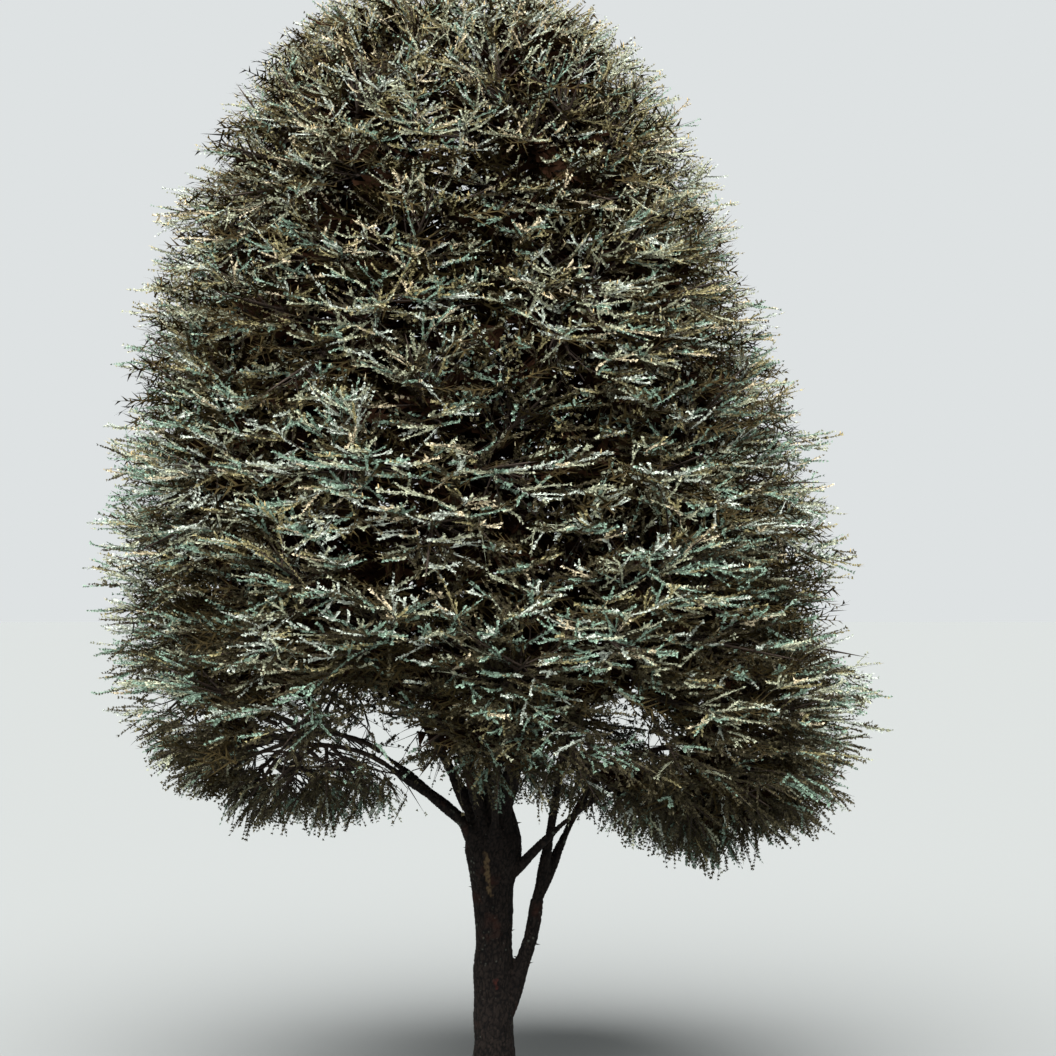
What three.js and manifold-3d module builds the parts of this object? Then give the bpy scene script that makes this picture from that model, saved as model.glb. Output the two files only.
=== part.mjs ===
// A blue cedar about 11 m tall, with a low fork and a broad, dense, egg-shaped crown.
// Millimetres. The origin is the middle of the flat cut at ground level, +Z is up,
// +X is to the right and -Y faces the viewer.
import * as THREE from "three";
import { mergeVertices } from "three/addons/utils/BufferGeometryUtils.js";
import Module from "manifold-3d";

// Trunk
const TRUNK_TOP = 9750;
const TRUNK_RADIUS = 210;
const TRUNK_TIP_RADIUS = 24;
const TRUNK_TAPER = 1.3;
const FORK_SWELL = 110;
const FORK_SWELL_HEIGHT = 2380;
const FORK_SWELL_REACH = 350;
const ROOT_FLARE = 120;
const ROOT_FLARE_HEIGHT = 150;
const ROOT_RIDGES = 5;
const ROOT_RIDGE_SHARE = 0.35;
const TRUNK_SIDES = 14;
const TRUNK_RINGS = [0, 90, 210, 450, 900, 1500, 1950, 2380, 2850, 3900, 5200, 6600, 8200, TRUNK_TOP];

// Lean of the trunk and of the crown round it
const LEAN_START = 3000;
const LEAN_LENGTH = 5600;
const LEAN = -440;

// Outline of the crown, turned about the leaning trunk: its radius falls off from the widest level
// upwards and downwards by a power of the share climbed or dropped, rounded by another.
// Its base is lower on the right and lifts towards the front, by so much for each millimetre,
// and it arches up over the fork
const CROWN_RADIUS = 3850;
const CROWN_BASE = 2420;
const BASE_TILT = 0.08;
const BASE_FRONT_LIFT = 0.13;
const BASE_ARCH = { x: 100, width: 1500, lift: 450 };
const CROWN_WIDEST = 4850;
const CROWN_TOP = 11100;
const CROWN_FALL_UP = { power: 1.4, rounding: 0.4 };
const CROWN_FALL_DOWN = { power: 6, rounding: 0.3 };

// Each tier of boughs: height of its foliage, how many, the first one's azimuth, the height where
// its boughs leave the trunk, their radius there, and how steeply its foliage rises from level
const TIERS = [
  { name: "skirt", height: 3250, count: 6, turn: -90, start: 2240, thick: 58, rise: -17 },
  { name: "lower", height: 4560, count: 6, turn: -60, start: 2320, thick: 80, rise: -7 },
  { name: "middle", height: 6120, count: 6, turn: -90, start: 4050, thick: 66, rise: 2 },
  { name: "upper", height: 7620, count: 5, turn: -54, start: 5700, thick: 52, rise: 10 },
  { name: "high", height: 9020, count: 4, turn: -45, start: 7350, thick: 40, rise: 20 },
];
const TOP_HEIGHT = 10270;
const TOP_RADIUS = 560;

// Where the foliage masses and their boughs lie, as shares of the crown's radius, and how far
// each mass strays from its place, in millimetres of height and degrees of azimuth
const MASS_CENTRE = 0.6;
const STRAY_HEIGHT = 230;
const STRAY_AZIMUTH = 9;
const STRAY_FOOT = 90;
const BOUGH_TIP = 0.35;
const BOUGH_TIP_DROP = [150, 330];
const BOUGH_TIP_RADIUS = 26;
const BOUGH_ARRIVAL = 32;
const BOUGH_CLIMB = { out: 0.3, up: 0.42, back: 0.3 };
const BOUGH_SIDES = 6;
const BOUGH_STEPS = 4;

// The stem that leaves the trunk low on the right, and forks into two boughs
const SIDE_STEM = {
  foot: new THREE.Vector3(90, 0, 700),
  bend: new THREE.Vector3(270, -10, 1180),
  lift: new THREE.Vector3(395, -20, 1500),
  fork: new THREE.Vector3(425, -20, 1880),
  footRadius: 108,
  forkRadius: 66,
};

// Boughs that leave the wood elsewhere than on the trunk at their tier's height
const OTHER_FEET = {
  skirt_bough_2: { foot: new THREE.Vector3(60, 0, 1960), thick: 52 },
  skirt_bough_3: { foot: SIDE_STEM.fork, thick: 56 },
  lower_bough_2: { foot: SIDE_STEM.fork, thick: 48 },
};

// Foliage of one mass: rows of twigs that fan out of its outer side, each with a spray at its tip
const TWIG_ROWS = [
  { turns: [-88, -30, 30, 88], rise: 0, step: 0 },
  { turns: [-58, 0, 58], rise: 34, step: 170 },
  { turns: [-58, 0, 58], rise: -34, step: -170 },
];
const TOP_TWIG_ROWS = [
  { turns: [0, 72, 144, 216, 288], rise: 8, step: -120 },
  { turns: [36, 156, 276], rise: 44, step: 60 },
  { turns: [90], rise: 84, step: 60 },
];
const TWIG_STRAY = 6;
const TWIG_SPREAD = 0.45;
const TWIG_RADIUS = 24;
const TWIG_TIP_RADIUS = 8;
const STEM_RADIUS = 26;
const STEM_BEND = 0.4;
const SPRAY_LENGTH = 1150;
const SPRAY_SHARE = 0.8;
const SPRAY_SCALES = [1, 0.85, 0.7, 0.55];
const SPRAY_WIDTH = 0.62;
const SPRAY_THICKNESS = 18;
const SPRAY_ROOT_WIDTH = 40;
const SPRAY_TEETH = [
  [0.55, 0.5],
  [0.6, 0.22],
];
const SPRAY_ROLL = 42;
const SHORTEST_SPRAY = 260;
const ROOT_SUNK = 8;

// The smaller core that the twigs stand out of
const CORE_HALF_DEPTH = 1000;
const CORE_HALF_HEIGHT = 640;
const CORE_WIDTH_SHARE = 0.92;
const CORE_LUMPS = 0.22;

// Gaps and steps
const CLEARANCE = 0.3;
const FOLIAGE_CLEARANCE = 10;
const SPACE_MARGIN = 12;
const SMALLEST_STEP = 4;
const ROOM_STEP = 25;

const BARK = new THREE.MeshStandardMaterial({ name: "bark", color: 0x3b342e, roughness: 0.95 });
const NEEDLES = new THREE.MeshStandardMaterial({ name: "needles", color: 0x6b7560, roughness: 0.8 });

const UP = new THREE.Vector3(0, 0, 1);
const DEGREE = Math.PI / 180;

const wasm = await Module();
wasm.setup();

/** A number from 0 to 1 that depends only on its seed and index. */
function chance(seed, index) {
  const value = Math.sin(seed * 127.1 + index * 311.7 + 4.7) * 43758.5453;
  return value - Math.floor(value);
}

/** The number that lies a given share of the way from low to high. */
function between(low, high, share) {
  return low + (high - low) * share;
}

/** A number between minus and plus a limit that depends only on its seed and index. */
function stray(limit, seed, index) {
  return between(-limit, limit, chance(seed, index));
}

/** A unit vector at an azimuth in degrees from +X towards +Y, and rising by some degrees. */
function heading(azimuth, rise = 0) {
  const level = Math.cos(rise * DEGREE);
  return new THREE.Vector3(
    Math.cos(azimuth * DEGREE) * level,
    Math.sin(azimuth * DEGREE) * level,
    Math.sin(rise * DEGREE),
  );
}

/** The middle of the trunk, and of the crown, at a height. */
function trunkCentre(z) {
  const t = THREE.MathUtils.clamp((z - LEAN_START) / LEAN_LENGTH, 0, 1);
  return new THREE.Vector3(LEAN * t * t * (3 - 2 * t), 0, z);
}

/** The trunk's radius at a height: it swells below the first boughs, and has root ridges at its foot. */
function trunkRadius(z, angle) {
  const taper = between(TRUNK_RADIUS, TRUNK_TIP_RADIUS, Math.pow(z / TRUNK_TOP, TRUNK_TAPER));
  const swell = FORK_SWELL * Math.exp(-(((z - FORK_SWELL_HEIGHT) / FORK_SWELL_REACH) ** 2));
  const flare = ROOT_FLARE * Math.exp(-z / ROOT_FLARE_HEIGHT);
  return taper + swell + flare * (1 + ROOT_RIDGE_SHARE * Math.cos(ROOT_RIDGES * angle));
}

/** The drop from the crown's widest level to its base at a place, as a share of the usual drop. */
function dropShare(x, y) {
  const arch = BASE_ARCH.lift * Math.exp(-(((x - BASE_ARCH.x) / BASE_ARCH.width) ** 2));
  const base = CROWN_BASE - BASE_TILT * x + BASE_FRONT_LIFT * Math.max(-y, 0) + arch;
  return (CROWN_WIDEST - base) / (CROWN_WIDEST - CROWN_BASE);
}

/** How far a level of the crown is lifted at a place by the tilt of the crown's base. */
function liftAt(x, y, level) {
  return Math.max(CROWN_WIDEST - level, 0) * (1 - dropShare(x, y));
}

/** The level of the crown's outline that a point lies on. */
function levelOf(point) {
  if (point.z >= CROWN_WIDEST) return point.z;
  return CROWN_WIDEST - (CROWN_WIDEST - point.z) / dropShare(point.x, point.y);
}

/** The radius of the crown's outline at a level, and zero above or below the crown. */
function crownRadius(z) {
  if (z >= CROWN_TOP || z <= CROWN_BASE) return 0;
  const end = z < CROWN_WIDEST ? CROWN_BASE : CROWN_TOP;
  const { power, rounding } = z < CROWN_WIDEST ? CROWN_FALL_DOWN : CROWN_FALL_UP;
  const share = (z - CROWN_WIDEST) / (end - CROWN_WIDEST);
  return CROWN_RADIUS * Math.pow(1 - Math.pow(share, power), rounding);
}

/** A closed geometry as a solid that can be joined and cut. */
function solidOf(geometry) {
  const bare = geometry.index ? geometry.toNonIndexed() : geometry.clone();
  bare.deleteAttribute("normal");
  bare.deleteAttribute("uv");
  const merged = mergeVertices(bare, 1e-3);
  const vertProperties = merged.attributes.position.array;
  const triVerts = new Uint32Array(merged.index.array);
  return new wasm.Manifold(new wasm.Mesh({ numProp: 3, vertProperties, triVerts }));
}

/** The largest body of a solid, without loose scraps and sealed hollows. */
function largestBody(solid) {
  return solid.decompose().reduce((a, b) => (b.volume() > a.volume() ? b : a));
}

/** A named mesh of a solid's largest body. */
function meshOf(name, solid, material) {
  const { vertProperties, triVerts, numProp } = largestBody(solid).getMesh();
  const geometry = new THREE.BufferGeometry();
  geometry.setAttribute("position", new THREE.BufferAttribute(vertProperties, numProp));
  geometry.setIndex(new THREE.BufferAttribute(triVerts, 1));
  geometry.computeVertexNormals();
  const mesh = new THREE.Mesh(geometry, material);
  mesh.name = name;
  return mesh;
}

/** The trunk: level rings about its leaning centre line, grown by a margin. */
function trunkSolid(margin = 0) {
  const steps = TRUNK_RINGS.length - 1;
  const geometry = new THREE.CylinderGeometry(1, 1, 1, TRUNK_SIDES, steps);
  const position = geometry.attributes.position;
  for (let i = 0; i < position.count; i++) {
    const [x, y, z] = [position.getX(i), position.getY(i), position.getZ(i)];
    const height = TRUNK_RINGS[Math.round((y + 0.5) * steps)];
    const centre = trunkCentre(height);
    const angle = Math.atan2(-z, x);
    const radius = Math.hypot(x, z) * (trunkRadius(height, angle) + margin);
    position.setXYZ(i, centre.x + radius * Math.cos(angle), centre.y + radius * Math.sin(angle), height);
  }
  return solidOf(geometry);
}

/** A round limb along a curve, tapering evenly, with flat ends square to it, grown by a margin. */
function limbSolid(curve, startRadius, endRadius, sides, steps, margin = 0) {
  const geometry = new THREE.CylinderGeometry(1, 1, 1, sides, steps);
  const frames = curve.computeFrenetFrames(steps, false);
  const position = geometry.attributes.position;
  for (let i = 0; i < position.count; i++) {
    const step = Math.round((position.getY(i) + 0.5) * steps);
    const radius = between(startRadius, endRadius, step / steps) + margin;
    const past = step === steps ? margin : step === 0 ? -margin : 0;
    const point = curve
      .getPointAt(step / steps)
      .addScaledVector(frames.tangents[step], past)
      .addScaledVector(frames.binormals[step], position.getX(i) * radius)
      .addScaledVector(frames.normals[step], position.getZ(i) * radius);
    position.setXYZ(i, point.x, point.y, point.z);
  }
  return solidOf(geometry);
}

/** The foliage masses of all tiers and of the crown's top, each with its bough's foot and tip. */
function layOutMasses() {
  const masses = [];
  for (const tier of TIERS) {
    for (let i = 0; i < tier.count; i++) {
      const seed = masses.length + 1;
      const azimuth = tier.turn + (360 * i) / tier.count + stray(STRAY_AZIMUTH, seed, 1);
      const height = tier.height + stray(STRAY_HEIGHT, seed, 2);
      const outward = heading(azimuth);
      const radius = crownRadius(height);
      const centre = trunkCentre(height).addScaledVector(outward, MASS_CENTRE * radius);
      const lift = liftAt(centre.x, centre.y, height);
      centre.z += lift;
      const tipHeight = height + lift - between(...BOUGH_TIP_DROP, chance(seed, 3));
      const tip = trunkCentre(tipHeight).addScaledVector(outward, BOUGH_TIP * radius);
      const width = (Math.PI * MASS_CENTRE * radius) / tier.count;
      const foot = trunkCentre(tier.start + stray(STRAY_FOOT, seed, 4));
      masses.push({ name: tier.name, number: i + 1, tier, seed, azimuth, outward, centre, foot, tip, width });
    }
  }
  masses.push({
    name: "top",
    seed: masses.length + 1,
    azimuth: 0,
    outward: heading(0),
    centre: trunkCentre(TOP_HEIGHT),
    tip: trunkCentre(TRUNK_TOP),
    width: TOP_RADIUS,
  });
  return masses;
}

/** The curve of a mass's bough: out of its foot, up beside the trunk, then out to the mass. */
function boughCurve(mass, foot) {
  const reach = mass.tip.clone().sub(foot);
  const { out, up, back } = BOUGH_CLIMB;
  const climb = foot.clone().addScaledVector(mass.outward, out * Math.hypot(reach.x, reach.y));
  climb.z += up * reach.z;
  const arrival = heading(mass.azimuth, BOUGH_ARRIVAL);
  const arrive = mass.tip.clone().addScaledVector(arrival, -back * reach.length());
  return new THREE.CubicBezierCurve3(foot, climb, arrive, mass.tip);
}

/** Whether every vertex of a convex piece lies in a mass's own space and within the crown. */
function keepsToSpace(solid, mass, masses) {
  const { vertProperties, numProp, numVert } = solid.getMesh();
  const point = new THREE.Vector3();
  for (let i = 0; i < numVert; i++) {
    point.fromArray(vertProperties, i * numProp);
    if (!inSpace(point, mass, masses)) return false;
  }
  return true;
}

/** Whether a point is nearer this mass's centre than any other's, and inside the crown's outline. */
function inSpace(point, mass, masses) {
  const centre = trunkCentre(point.z);
  if (Math.hypot(point.x - centre.x, point.y - centre.y) > crownRadius(levelOf(point))) return false;
  return masses.every((other) => {
    if (other === mass) return true;
    const apart = other.centre.clone().sub(mass.centre);
    const past = point.clone().sub(mass.centre).dot(apart) / apart.length();
    return past < apart.length() / 2 - SPACE_MARGIN;
  });
}

/** How far a straight line from a point can run inside a mass's own space. */
function roomAlong(start, direction, mass, masses) {
  const step = ROOM_STEP;
  let length = 0;
  while (inSpace(start.clone().addScaledVector(direction, length + step), mass, masses)) length += step;
  return length;
}

/** The lumpy core of a mass, drawn in wherever it would leave the mass's space. */
function coreSolid(mass, masses) {
  const geometry = new THREE.OctahedronGeometry(1, 1);
  const side = heading(mass.azimuth + 90);
  const position = geometry.attributes.position;
  const depth = mass.tier ? CORE_HALF_DEPTH : mass.width;
  const width = mass.tier ? mass.width * CORE_WIDTH_SHARE : mass.width;
  for (let i = 0; i < position.count; i++) {
    const unit = new THREE.Vector3().fromBufferAttribute(position, i);
    const wave = Math.sin(5 * unit.x + mass.seed) * Math.cos(4 * unit.z + mass.seed);
    const lump = wave * Math.cos(6 * unit.y);
    const offset = new THREE.Vector3()
      .addScaledVector(mass.outward, unit.x * depth)
      .addScaledVector(side, unit.y * width)
      .addScaledVector(UP, unit.z * CORE_HALF_HEIGHT)
      .multiplyScalar(1 + CORE_LUMPS * lump);
    while (!inSpace(mass.centre.clone().add(offset), mass, masses)) offset.multiplyScalar(0.95);
    offset.add(mass.centre);
    position.setXYZ(i, offset.x, offset.y, offset.z);
  }
  return solidOf(geometry);
}

/** A spray of needles: a thin toothed blade, its blunt root at the origin, along +X. */
function sprayGeometry(length, width) {
  const outline = new THREE.Shape();
  outline.moveTo(0, -0.5 * SPRAY_ROOT_WIDTH);
  for (const [along, across] of SPRAY_TEETH) outline.lineTo(along * length, -across * width);
  outline.lineTo(length, 0);
  for (const [along, across] of SPRAY_TEETH.toReversed()) outline.lineTo(along * length, across * width);
  outline.lineTo(0, 0.5 * SPRAY_ROOT_WIDTH);
  outline.closePath();
  const geometry = new THREE.ExtrudeGeometry(outline, { depth: SPRAY_THICKNESS, bevelEnabled: false });
  return geometry.translate(0, 0, -SPRAY_THICKNESS / 2);
}

/** A spray set in its place, its root sunk behind a point and its blade across a side vector. */
function spraySolid(root, direction, side, length, width) {
  const across = side.clone().addScaledVector(direction, -side.dot(direction)).normalize();
  const face = direction.clone().cross(across);
  const place = new THREE.Matrix4().makeBasis(direction, across, face);
  place.setPosition(root.clone().addScaledVector(direction, -ROOT_SUNK));
  return solidOf(sprayGeometry(length + ROOT_SUNK, width).applyMatrix4(place));
}

/** The starts and directions of a mass's twigs, row by row about its centre. */
function twigLines(mass) {
  const side = heading(mass.azimuth + 90);
  const lines = [];
  for (const row of mass.tier ? TWIG_ROWS : TOP_TWIG_ROWS) {
    for (const turn of row.turns) {
      const index = lines.length;
      const start = mass.centre.clone().addScaledVector(UP, row.step);
      if (mass.tier) start.addScaledVector(side, TWIG_SPREAD * mass.width * Math.sin(turn * DEGREE));
      const azimuth = mass.azimuth + turn + stray(TWIG_STRAY, mass.seed, 10 + index);
      const rise = row.rise + (mass.tier?.rise ?? 0) + stray(TWIG_STRAY, mass.seed, 30 + index);
      const roll = SPRAY_ROLL * (index % 2 ? 1 : -1) * between(0.5, 1, chance(mass.seed, 50 + index));
      lines.push({ start, azimuth, rise, roll });
    }
  }
  return lines;
}

/** Whether a piece lies in its mass's own space and clear of the trunk and boughs. */
function fits(piece, mass, masses, limbs) {
  return keepsToSpace(piece, mass, masses) && piece.intersect(limbs).isEmpty();
}

/** A mass's twigs, each with the largest spray at its tip that fits and crosses no other. */
function twigPieces(mass, masses, limbs) {
  const pieces = [];
  for (const { start, azimuth, rise, roll } of twigLines(mass)) {
    const direction = heading(azimuth, rise);
    const level = heading(azimuth + 90);
    const side = level.applyAxisAngle(direction, roll * DEGREE);
    const room = roomAlong(start, direction, mass, masses);
    for (const scale of SPRAY_SCALES) {
      const length = scale * Math.min(SPRAY_LENGTH, SPRAY_SHARE * room);
      if (length < SHORTEST_SPRAY) break;
      const tip = start.clone().addScaledVector(direction, room - length);
      const twig = limbSolid(new THREE.LineCurve3(start, tip), TWIG_RADIUS, TWIG_TIP_RADIUS, 3, 1);
      const spray = spraySolid(tip, direction, side, length - SPRAY_THICKNESS, SPRAY_WIDTH * length);
      const clear = pieces.every((piece) => piece.intersect(spray).isEmpty());
      if (clear && fits(spray, mass, masses, limbs) && fits(twig, mass, masses, limbs)) {
        pieces.push(twig, spray);
        break;
      }
    }
  }
  return pieces;
}

/** A foliage mass: a stem from its bough's tip, a core, and twigs with their sprays, all fused. */
function massSolid(mass, arrival, masses, limbs) {
  const foot = mass.tip.clone().addScaledVector(arrival, CLEARANCE);
  const bend = foot.clone().addScaledVector(arrival, STEM_BEND * foot.distanceTo(mass.centre));
  const curve = new THREE.QuadraticBezierCurve3(foot, bend, mass.centre);
  const core = coreSolid(mass, masses).subtract(limbs);
  let solid = limbSolid(curve, STEM_RADIUS, TWIG_RADIUS, 3, 2).add(core);
  for (const piece of twigPieces(mass, masses, limbs)) solid = solid.add(piece);
  return solid.simplify(SMALLEST_STEP);
}

/** The boughs, each cut clear of the trunk and of the limbs before it. */
function buildLimbs(masses) {
  const limbs = [];
  const { foot, bend, lift, fork, footRadius, forkRadius } = SIDE_STEM;
  const sideCurve = new THREE.CubicBezierCurve3(foot, bend, lift, fork);
  limbs.push({ name: "side_stem", curve: sideCurve, start: footRadius, end: forkRadius });
  for (const mass of masses.filter(({ tier }) => tier)) {
    const name = `${mass.name}_bough_${mass.number}`;
    const { foot: root, thick } = OTHER_FEET[name] ?? { foot: mass.foot, thick: mass.tier.thick };
    const curve = boughCurve(mass, root);
    mass.arrival = curve.getTangentAt(1);
    limbs.push({ name, curve, start: thick, end: BOUGH_TIP_RADIUS });
  }
  let closeCutter = trunkSolid(CLEARANCE);
  let wideCutter = trunkSolid(FOLIAGE_CLEARANCE);
  for (const limb of limbs) {
    const { curve, start, end } = limb;
    const grown = (margin) => limbSolid(curve, start, end, BOUGH_SIDES, BOUGH_STEPS, margin);
    limb.solid = grown(0).subtract(closeCutter);
    closeCutter = closeCutter.add(grown(CLEARANCE));
    wideCutter = wideCutter.add(grown(FOLIAGE_CLEARANCE));
  }
  return { limbs, wideCutter };
}

/** The whole tree as a group of named meshes. */
function buildTree() {
  const tree = new THREE.Group();
  tree.name = "blue_cedar";
  tree.add(meshOf("trunk", trunkSolid(), BARK));
  const masses = layOutMasses();
  const { limbs, wideCutter } = buildLimbs(masses);
  for (const limb of limbs) tree.add(meshOf(limb.name, limb.solid, BARK));
  for (const mass of masses) {
    const name = mass.tier ? `${mass.name}_foliage_${mass.number}` : "top_foliage";
    const solid = massSolid(mass, mass.arrival ?? UP, masses, wideCutter);
    tree.add(meshOf(name, solid, NEEDLES));
  }
  return tree;
}

export default buildTree();
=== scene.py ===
"""A blue cedar: its bark, its branches, and the flat sprays of needles that make its crown.

Metres. The origin is the middle of the flat cut at ground level, +Z is up, +X is to the
right and -Y faces the viewer. The limbs and the masses of foliage are laid out by the same
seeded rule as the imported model, and carried on from there to shoots and needles.
"""

import itertools
import logging
import math
from collections.abc import Sequence
from dataclasses import dataclass
from enum import Enum

import bpy
import numpy as np
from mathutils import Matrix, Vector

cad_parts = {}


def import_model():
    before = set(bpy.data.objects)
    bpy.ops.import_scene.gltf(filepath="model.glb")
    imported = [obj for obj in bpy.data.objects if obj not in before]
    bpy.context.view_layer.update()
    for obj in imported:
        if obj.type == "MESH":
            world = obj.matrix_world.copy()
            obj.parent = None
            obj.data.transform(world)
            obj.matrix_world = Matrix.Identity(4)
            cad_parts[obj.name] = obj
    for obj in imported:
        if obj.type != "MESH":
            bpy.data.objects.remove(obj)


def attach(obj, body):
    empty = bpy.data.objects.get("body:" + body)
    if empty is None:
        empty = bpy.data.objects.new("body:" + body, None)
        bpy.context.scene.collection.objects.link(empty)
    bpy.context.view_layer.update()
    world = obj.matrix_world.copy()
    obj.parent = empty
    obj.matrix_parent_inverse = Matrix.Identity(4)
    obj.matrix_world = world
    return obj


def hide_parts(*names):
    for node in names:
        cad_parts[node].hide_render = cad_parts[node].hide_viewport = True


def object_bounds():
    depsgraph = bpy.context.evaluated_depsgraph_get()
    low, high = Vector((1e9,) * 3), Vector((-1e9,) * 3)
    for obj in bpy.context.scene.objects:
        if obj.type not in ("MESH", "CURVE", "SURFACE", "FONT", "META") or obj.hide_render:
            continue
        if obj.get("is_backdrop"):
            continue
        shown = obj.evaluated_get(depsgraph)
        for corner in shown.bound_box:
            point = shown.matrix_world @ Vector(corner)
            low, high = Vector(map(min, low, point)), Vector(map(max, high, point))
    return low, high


LOG = logging.getLogger("cedar")
UP = np.array((0.0, 0.0, 1.0))
BODY = "root"
# The point that the photograph was taken from
VIEWER = (0.34, -22.0, 4.8)
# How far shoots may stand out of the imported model's box, as a share of its sides, and the
# room that the needles on them need
PROUD_SHARE = 0.03
NEEDLE_ROOM = 0.03
# The steps and the scale of seeded chances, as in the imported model
CHANCE_STEPS = (127.1, 311.7, 4.7)
CHANCE_SCALE = 43758.5453
# The waves that add up to a slow variation over space, and how far they usually reach
DRIFT_WAVES = 9
DRIFT_PACES = (0.6, 1.5)
DRIFT_REACH = 2.6
# How steep a course is whose frame is set from the X axis
STEEP = 0.9


class Slot(Enum):
    """The record's material slots."""

    BARK = "bark"
    NEEDLES = "needles"


# Numbers and vectors


def chance(seed: float, index: float) -> float:
    """Draw a number that depends only on its seed and index.

    Args:
        seed: the number of the thing that it is drawn for.
        index: which of that thing's numbers it is.

    Returns:
        A number from 0 to 1.
    """
    by_seed, by_index, start = CHANCE_STEPS
    value = math.sin(seed * by_seed + index * by_index + start) * CHANCE_SCALE
    return value - math.floor(value)


def between(low: float, high: float, share: np.ndarray | float) -> np.ndarray | float:
    """Return the number that lies a share of the way from low to high."""
    return low + (high - low) * share


def stray(limit: float, seed: float, index: float) -> float:
    """Return a number between minus and plus a limit, by its seed and index."""
    return between(-limit, limit, chance(seed, index))


def graded(places: np.ndarray | float, steps: tuple[tuple[float, float], ...]) -> np.ndarray:
    """Return the values at places between steps of (place, value)."""
    return np.interp(places, *zip(*steps))


def heading(azimuth: np.ndarray | float, rise: np.ndarray | float = 0.0) -> np.ndarray:
    """Return unit vectors at azimuths from +X towards +Y that rise from level.

    Args:
        azimuth: degrees round the tree.
        rise: degrees above level.

    Returns:
        One vector, or one for each azimuth.
    """
    turn, lift = np.radians(azimuth), np.radians(rise)
    parts = (np.cos(turn) * np.cos(lift), np.sin(turn) * np.cos(lift), np.sin(lift) + 0.0 * turn)
    return np.stack(parts, axis=-1)


def unit(vectors: np.ndarray) -> np.ndarray:
    """Return vectors of the same direction and length 1."""
    return vectors / np.maximum(np.linalg.norm(vectors, axis=-1, keepdims=True), 1e-9)


def dot(a: np.ndarray, b: np.ndarray) -> np.ndarray:
    """Return the dot products of two sets of vectors, as a column."""
    return (a * b).sum(axis=-1, keepdims=True)


def squashed(points: np.ndarray, share: float) -> np.ndarray:
    """Return points with their heights multiplied by a share."""
    return points * np.array((1.0, 1.0, share))


def reference_for(course: np.ndarray) -> np.ndarray:
    """Return a direction that is well away from each course."""
    return np.where(np.abs(course[:, 2:3]) > STEEP, np.array((1.0, 0.0, 0.0)), UP)


def frame_of(course: np.ndarray) -> tuple[np.ndarray, np.ndarray]:
    """Return two sets of unit vectors across courses, at right angles to each other."""
    across = unit(np.cross(course, reference_for(course)))
    return across, np.cross(across, course)


def smooth_step(values: np.ndarray) -> np.ndarray:
    """Return values from 0 to 1 that ease in and out."""
    share = np.clip(values, 0.0, 1.0)
    return share * share * (3.0 - 2.0 * share)


def drift(points: np.ndarray, size: float, seed: int) -> np.ndarray:
    """Return a slow variation over space, mostly between -1 and 1.

    Args:
        points: where it is read.
        size: the usual width of a patch, in metres.
        seed: which variation it is.

    Returns:
        One number for each point.
    """
    rng = np.random.default_rng(seed)
    waves = unit(rng.normal(size=(DRIFT_WAVES, 3)))
    waves = waves * rng.uniform(*DRIFT_PACES, (DRIFT_WAVES, 1)) * math.pi / size
    phases = rng.uniform(0.0, 2.0 * math.pi, DRIFT_WAVES)
    return np.sin(points @ waves.T + phases).sum(axis=-1) / DRIFT_REACH


def quadratic(start: np.ndarray, bend: np.ndarray, end: np.ndarray, share: np.ndarray) -> np.ndarray:
    """Return points on quadratic curves at shares of their way."""
    rest = 1.0 - share
    return start * rest * rest + bend * 2.0 * rest * share + end * share * share


def curve_parts(start: np.ndarray, bend: np.ndarray, end: np.ndarray) -> tuple[np.ndarray, ...]:
    """Return the root, run and turn of shoots that follow quadratic curves."""
    return start, 2.0 * (bend - start), start - 2.0 * bend + end


# Meshes and materials


def colour(hex_value: str) -> tuple[float, float, float, float]:
    """Turn an sRGB colour to linear light.

    Args:
        hex_value: the colour, such as "#8a9a80".

    Returns:
        Red, green, blue and an opacity of 1.
    """
    parts = [int(hex_value[i : i + 2], 16) / 255.0 for i in (1, 3, 5)]
    linear = [p / 12.92 if p <= 0.04045 else ((p + 0.055) / 1.055) ** 2.4 for p in parts]
    return (*linear, 1.0)


def add_node(
    material: bpy.types.Material,
    kind: str,
    links: dict[str | int, object] | None = None,
    **settings: object,
) -> bpy.types.Node:
    """Add a shader node with its settings and links.

    Args:
        material: the material whose tree the node joins.
        kind: the node's type, such as "ShaderNodeTexNoise".
        links: a value or an output socket for each input name or number.
        settings: the node's own attributes. The stops of a colour ramp are (place, hex) pairs.

    Returns:
        The new node.
    """
    tree = material.node_tree
    node = tree.nodes.new(kind)
    for name, value in settings.items():
        if name == "stops":
            ramp = node.color_ramp.elements
            while len(ramp) < len(value):
                ramp.new(0.5)
            for element, (place, hex_value) in zip(ramp, value):
                element.position = place
                element.color = colour(hex_value)
        else:
            setattr(node, name, value)
    for name, value in (links or {}).items():
        if isinstance(value, bpy.types.NodeSocket):
            tree.links.new(value, node.inputs[name])
        else:
            node.inputs[name].default_value = value
    return node


def empty_material(name: str) -> bpy.types.Material:
    """Make a new material with no nodes.

    Args:
        name: the material's name.

    Returns:
        The material.
    """
    material = bpy.data.materials.new(name)
    material.use_nodes = True
    material.node_tree.nodes.clear()
    return material


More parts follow.
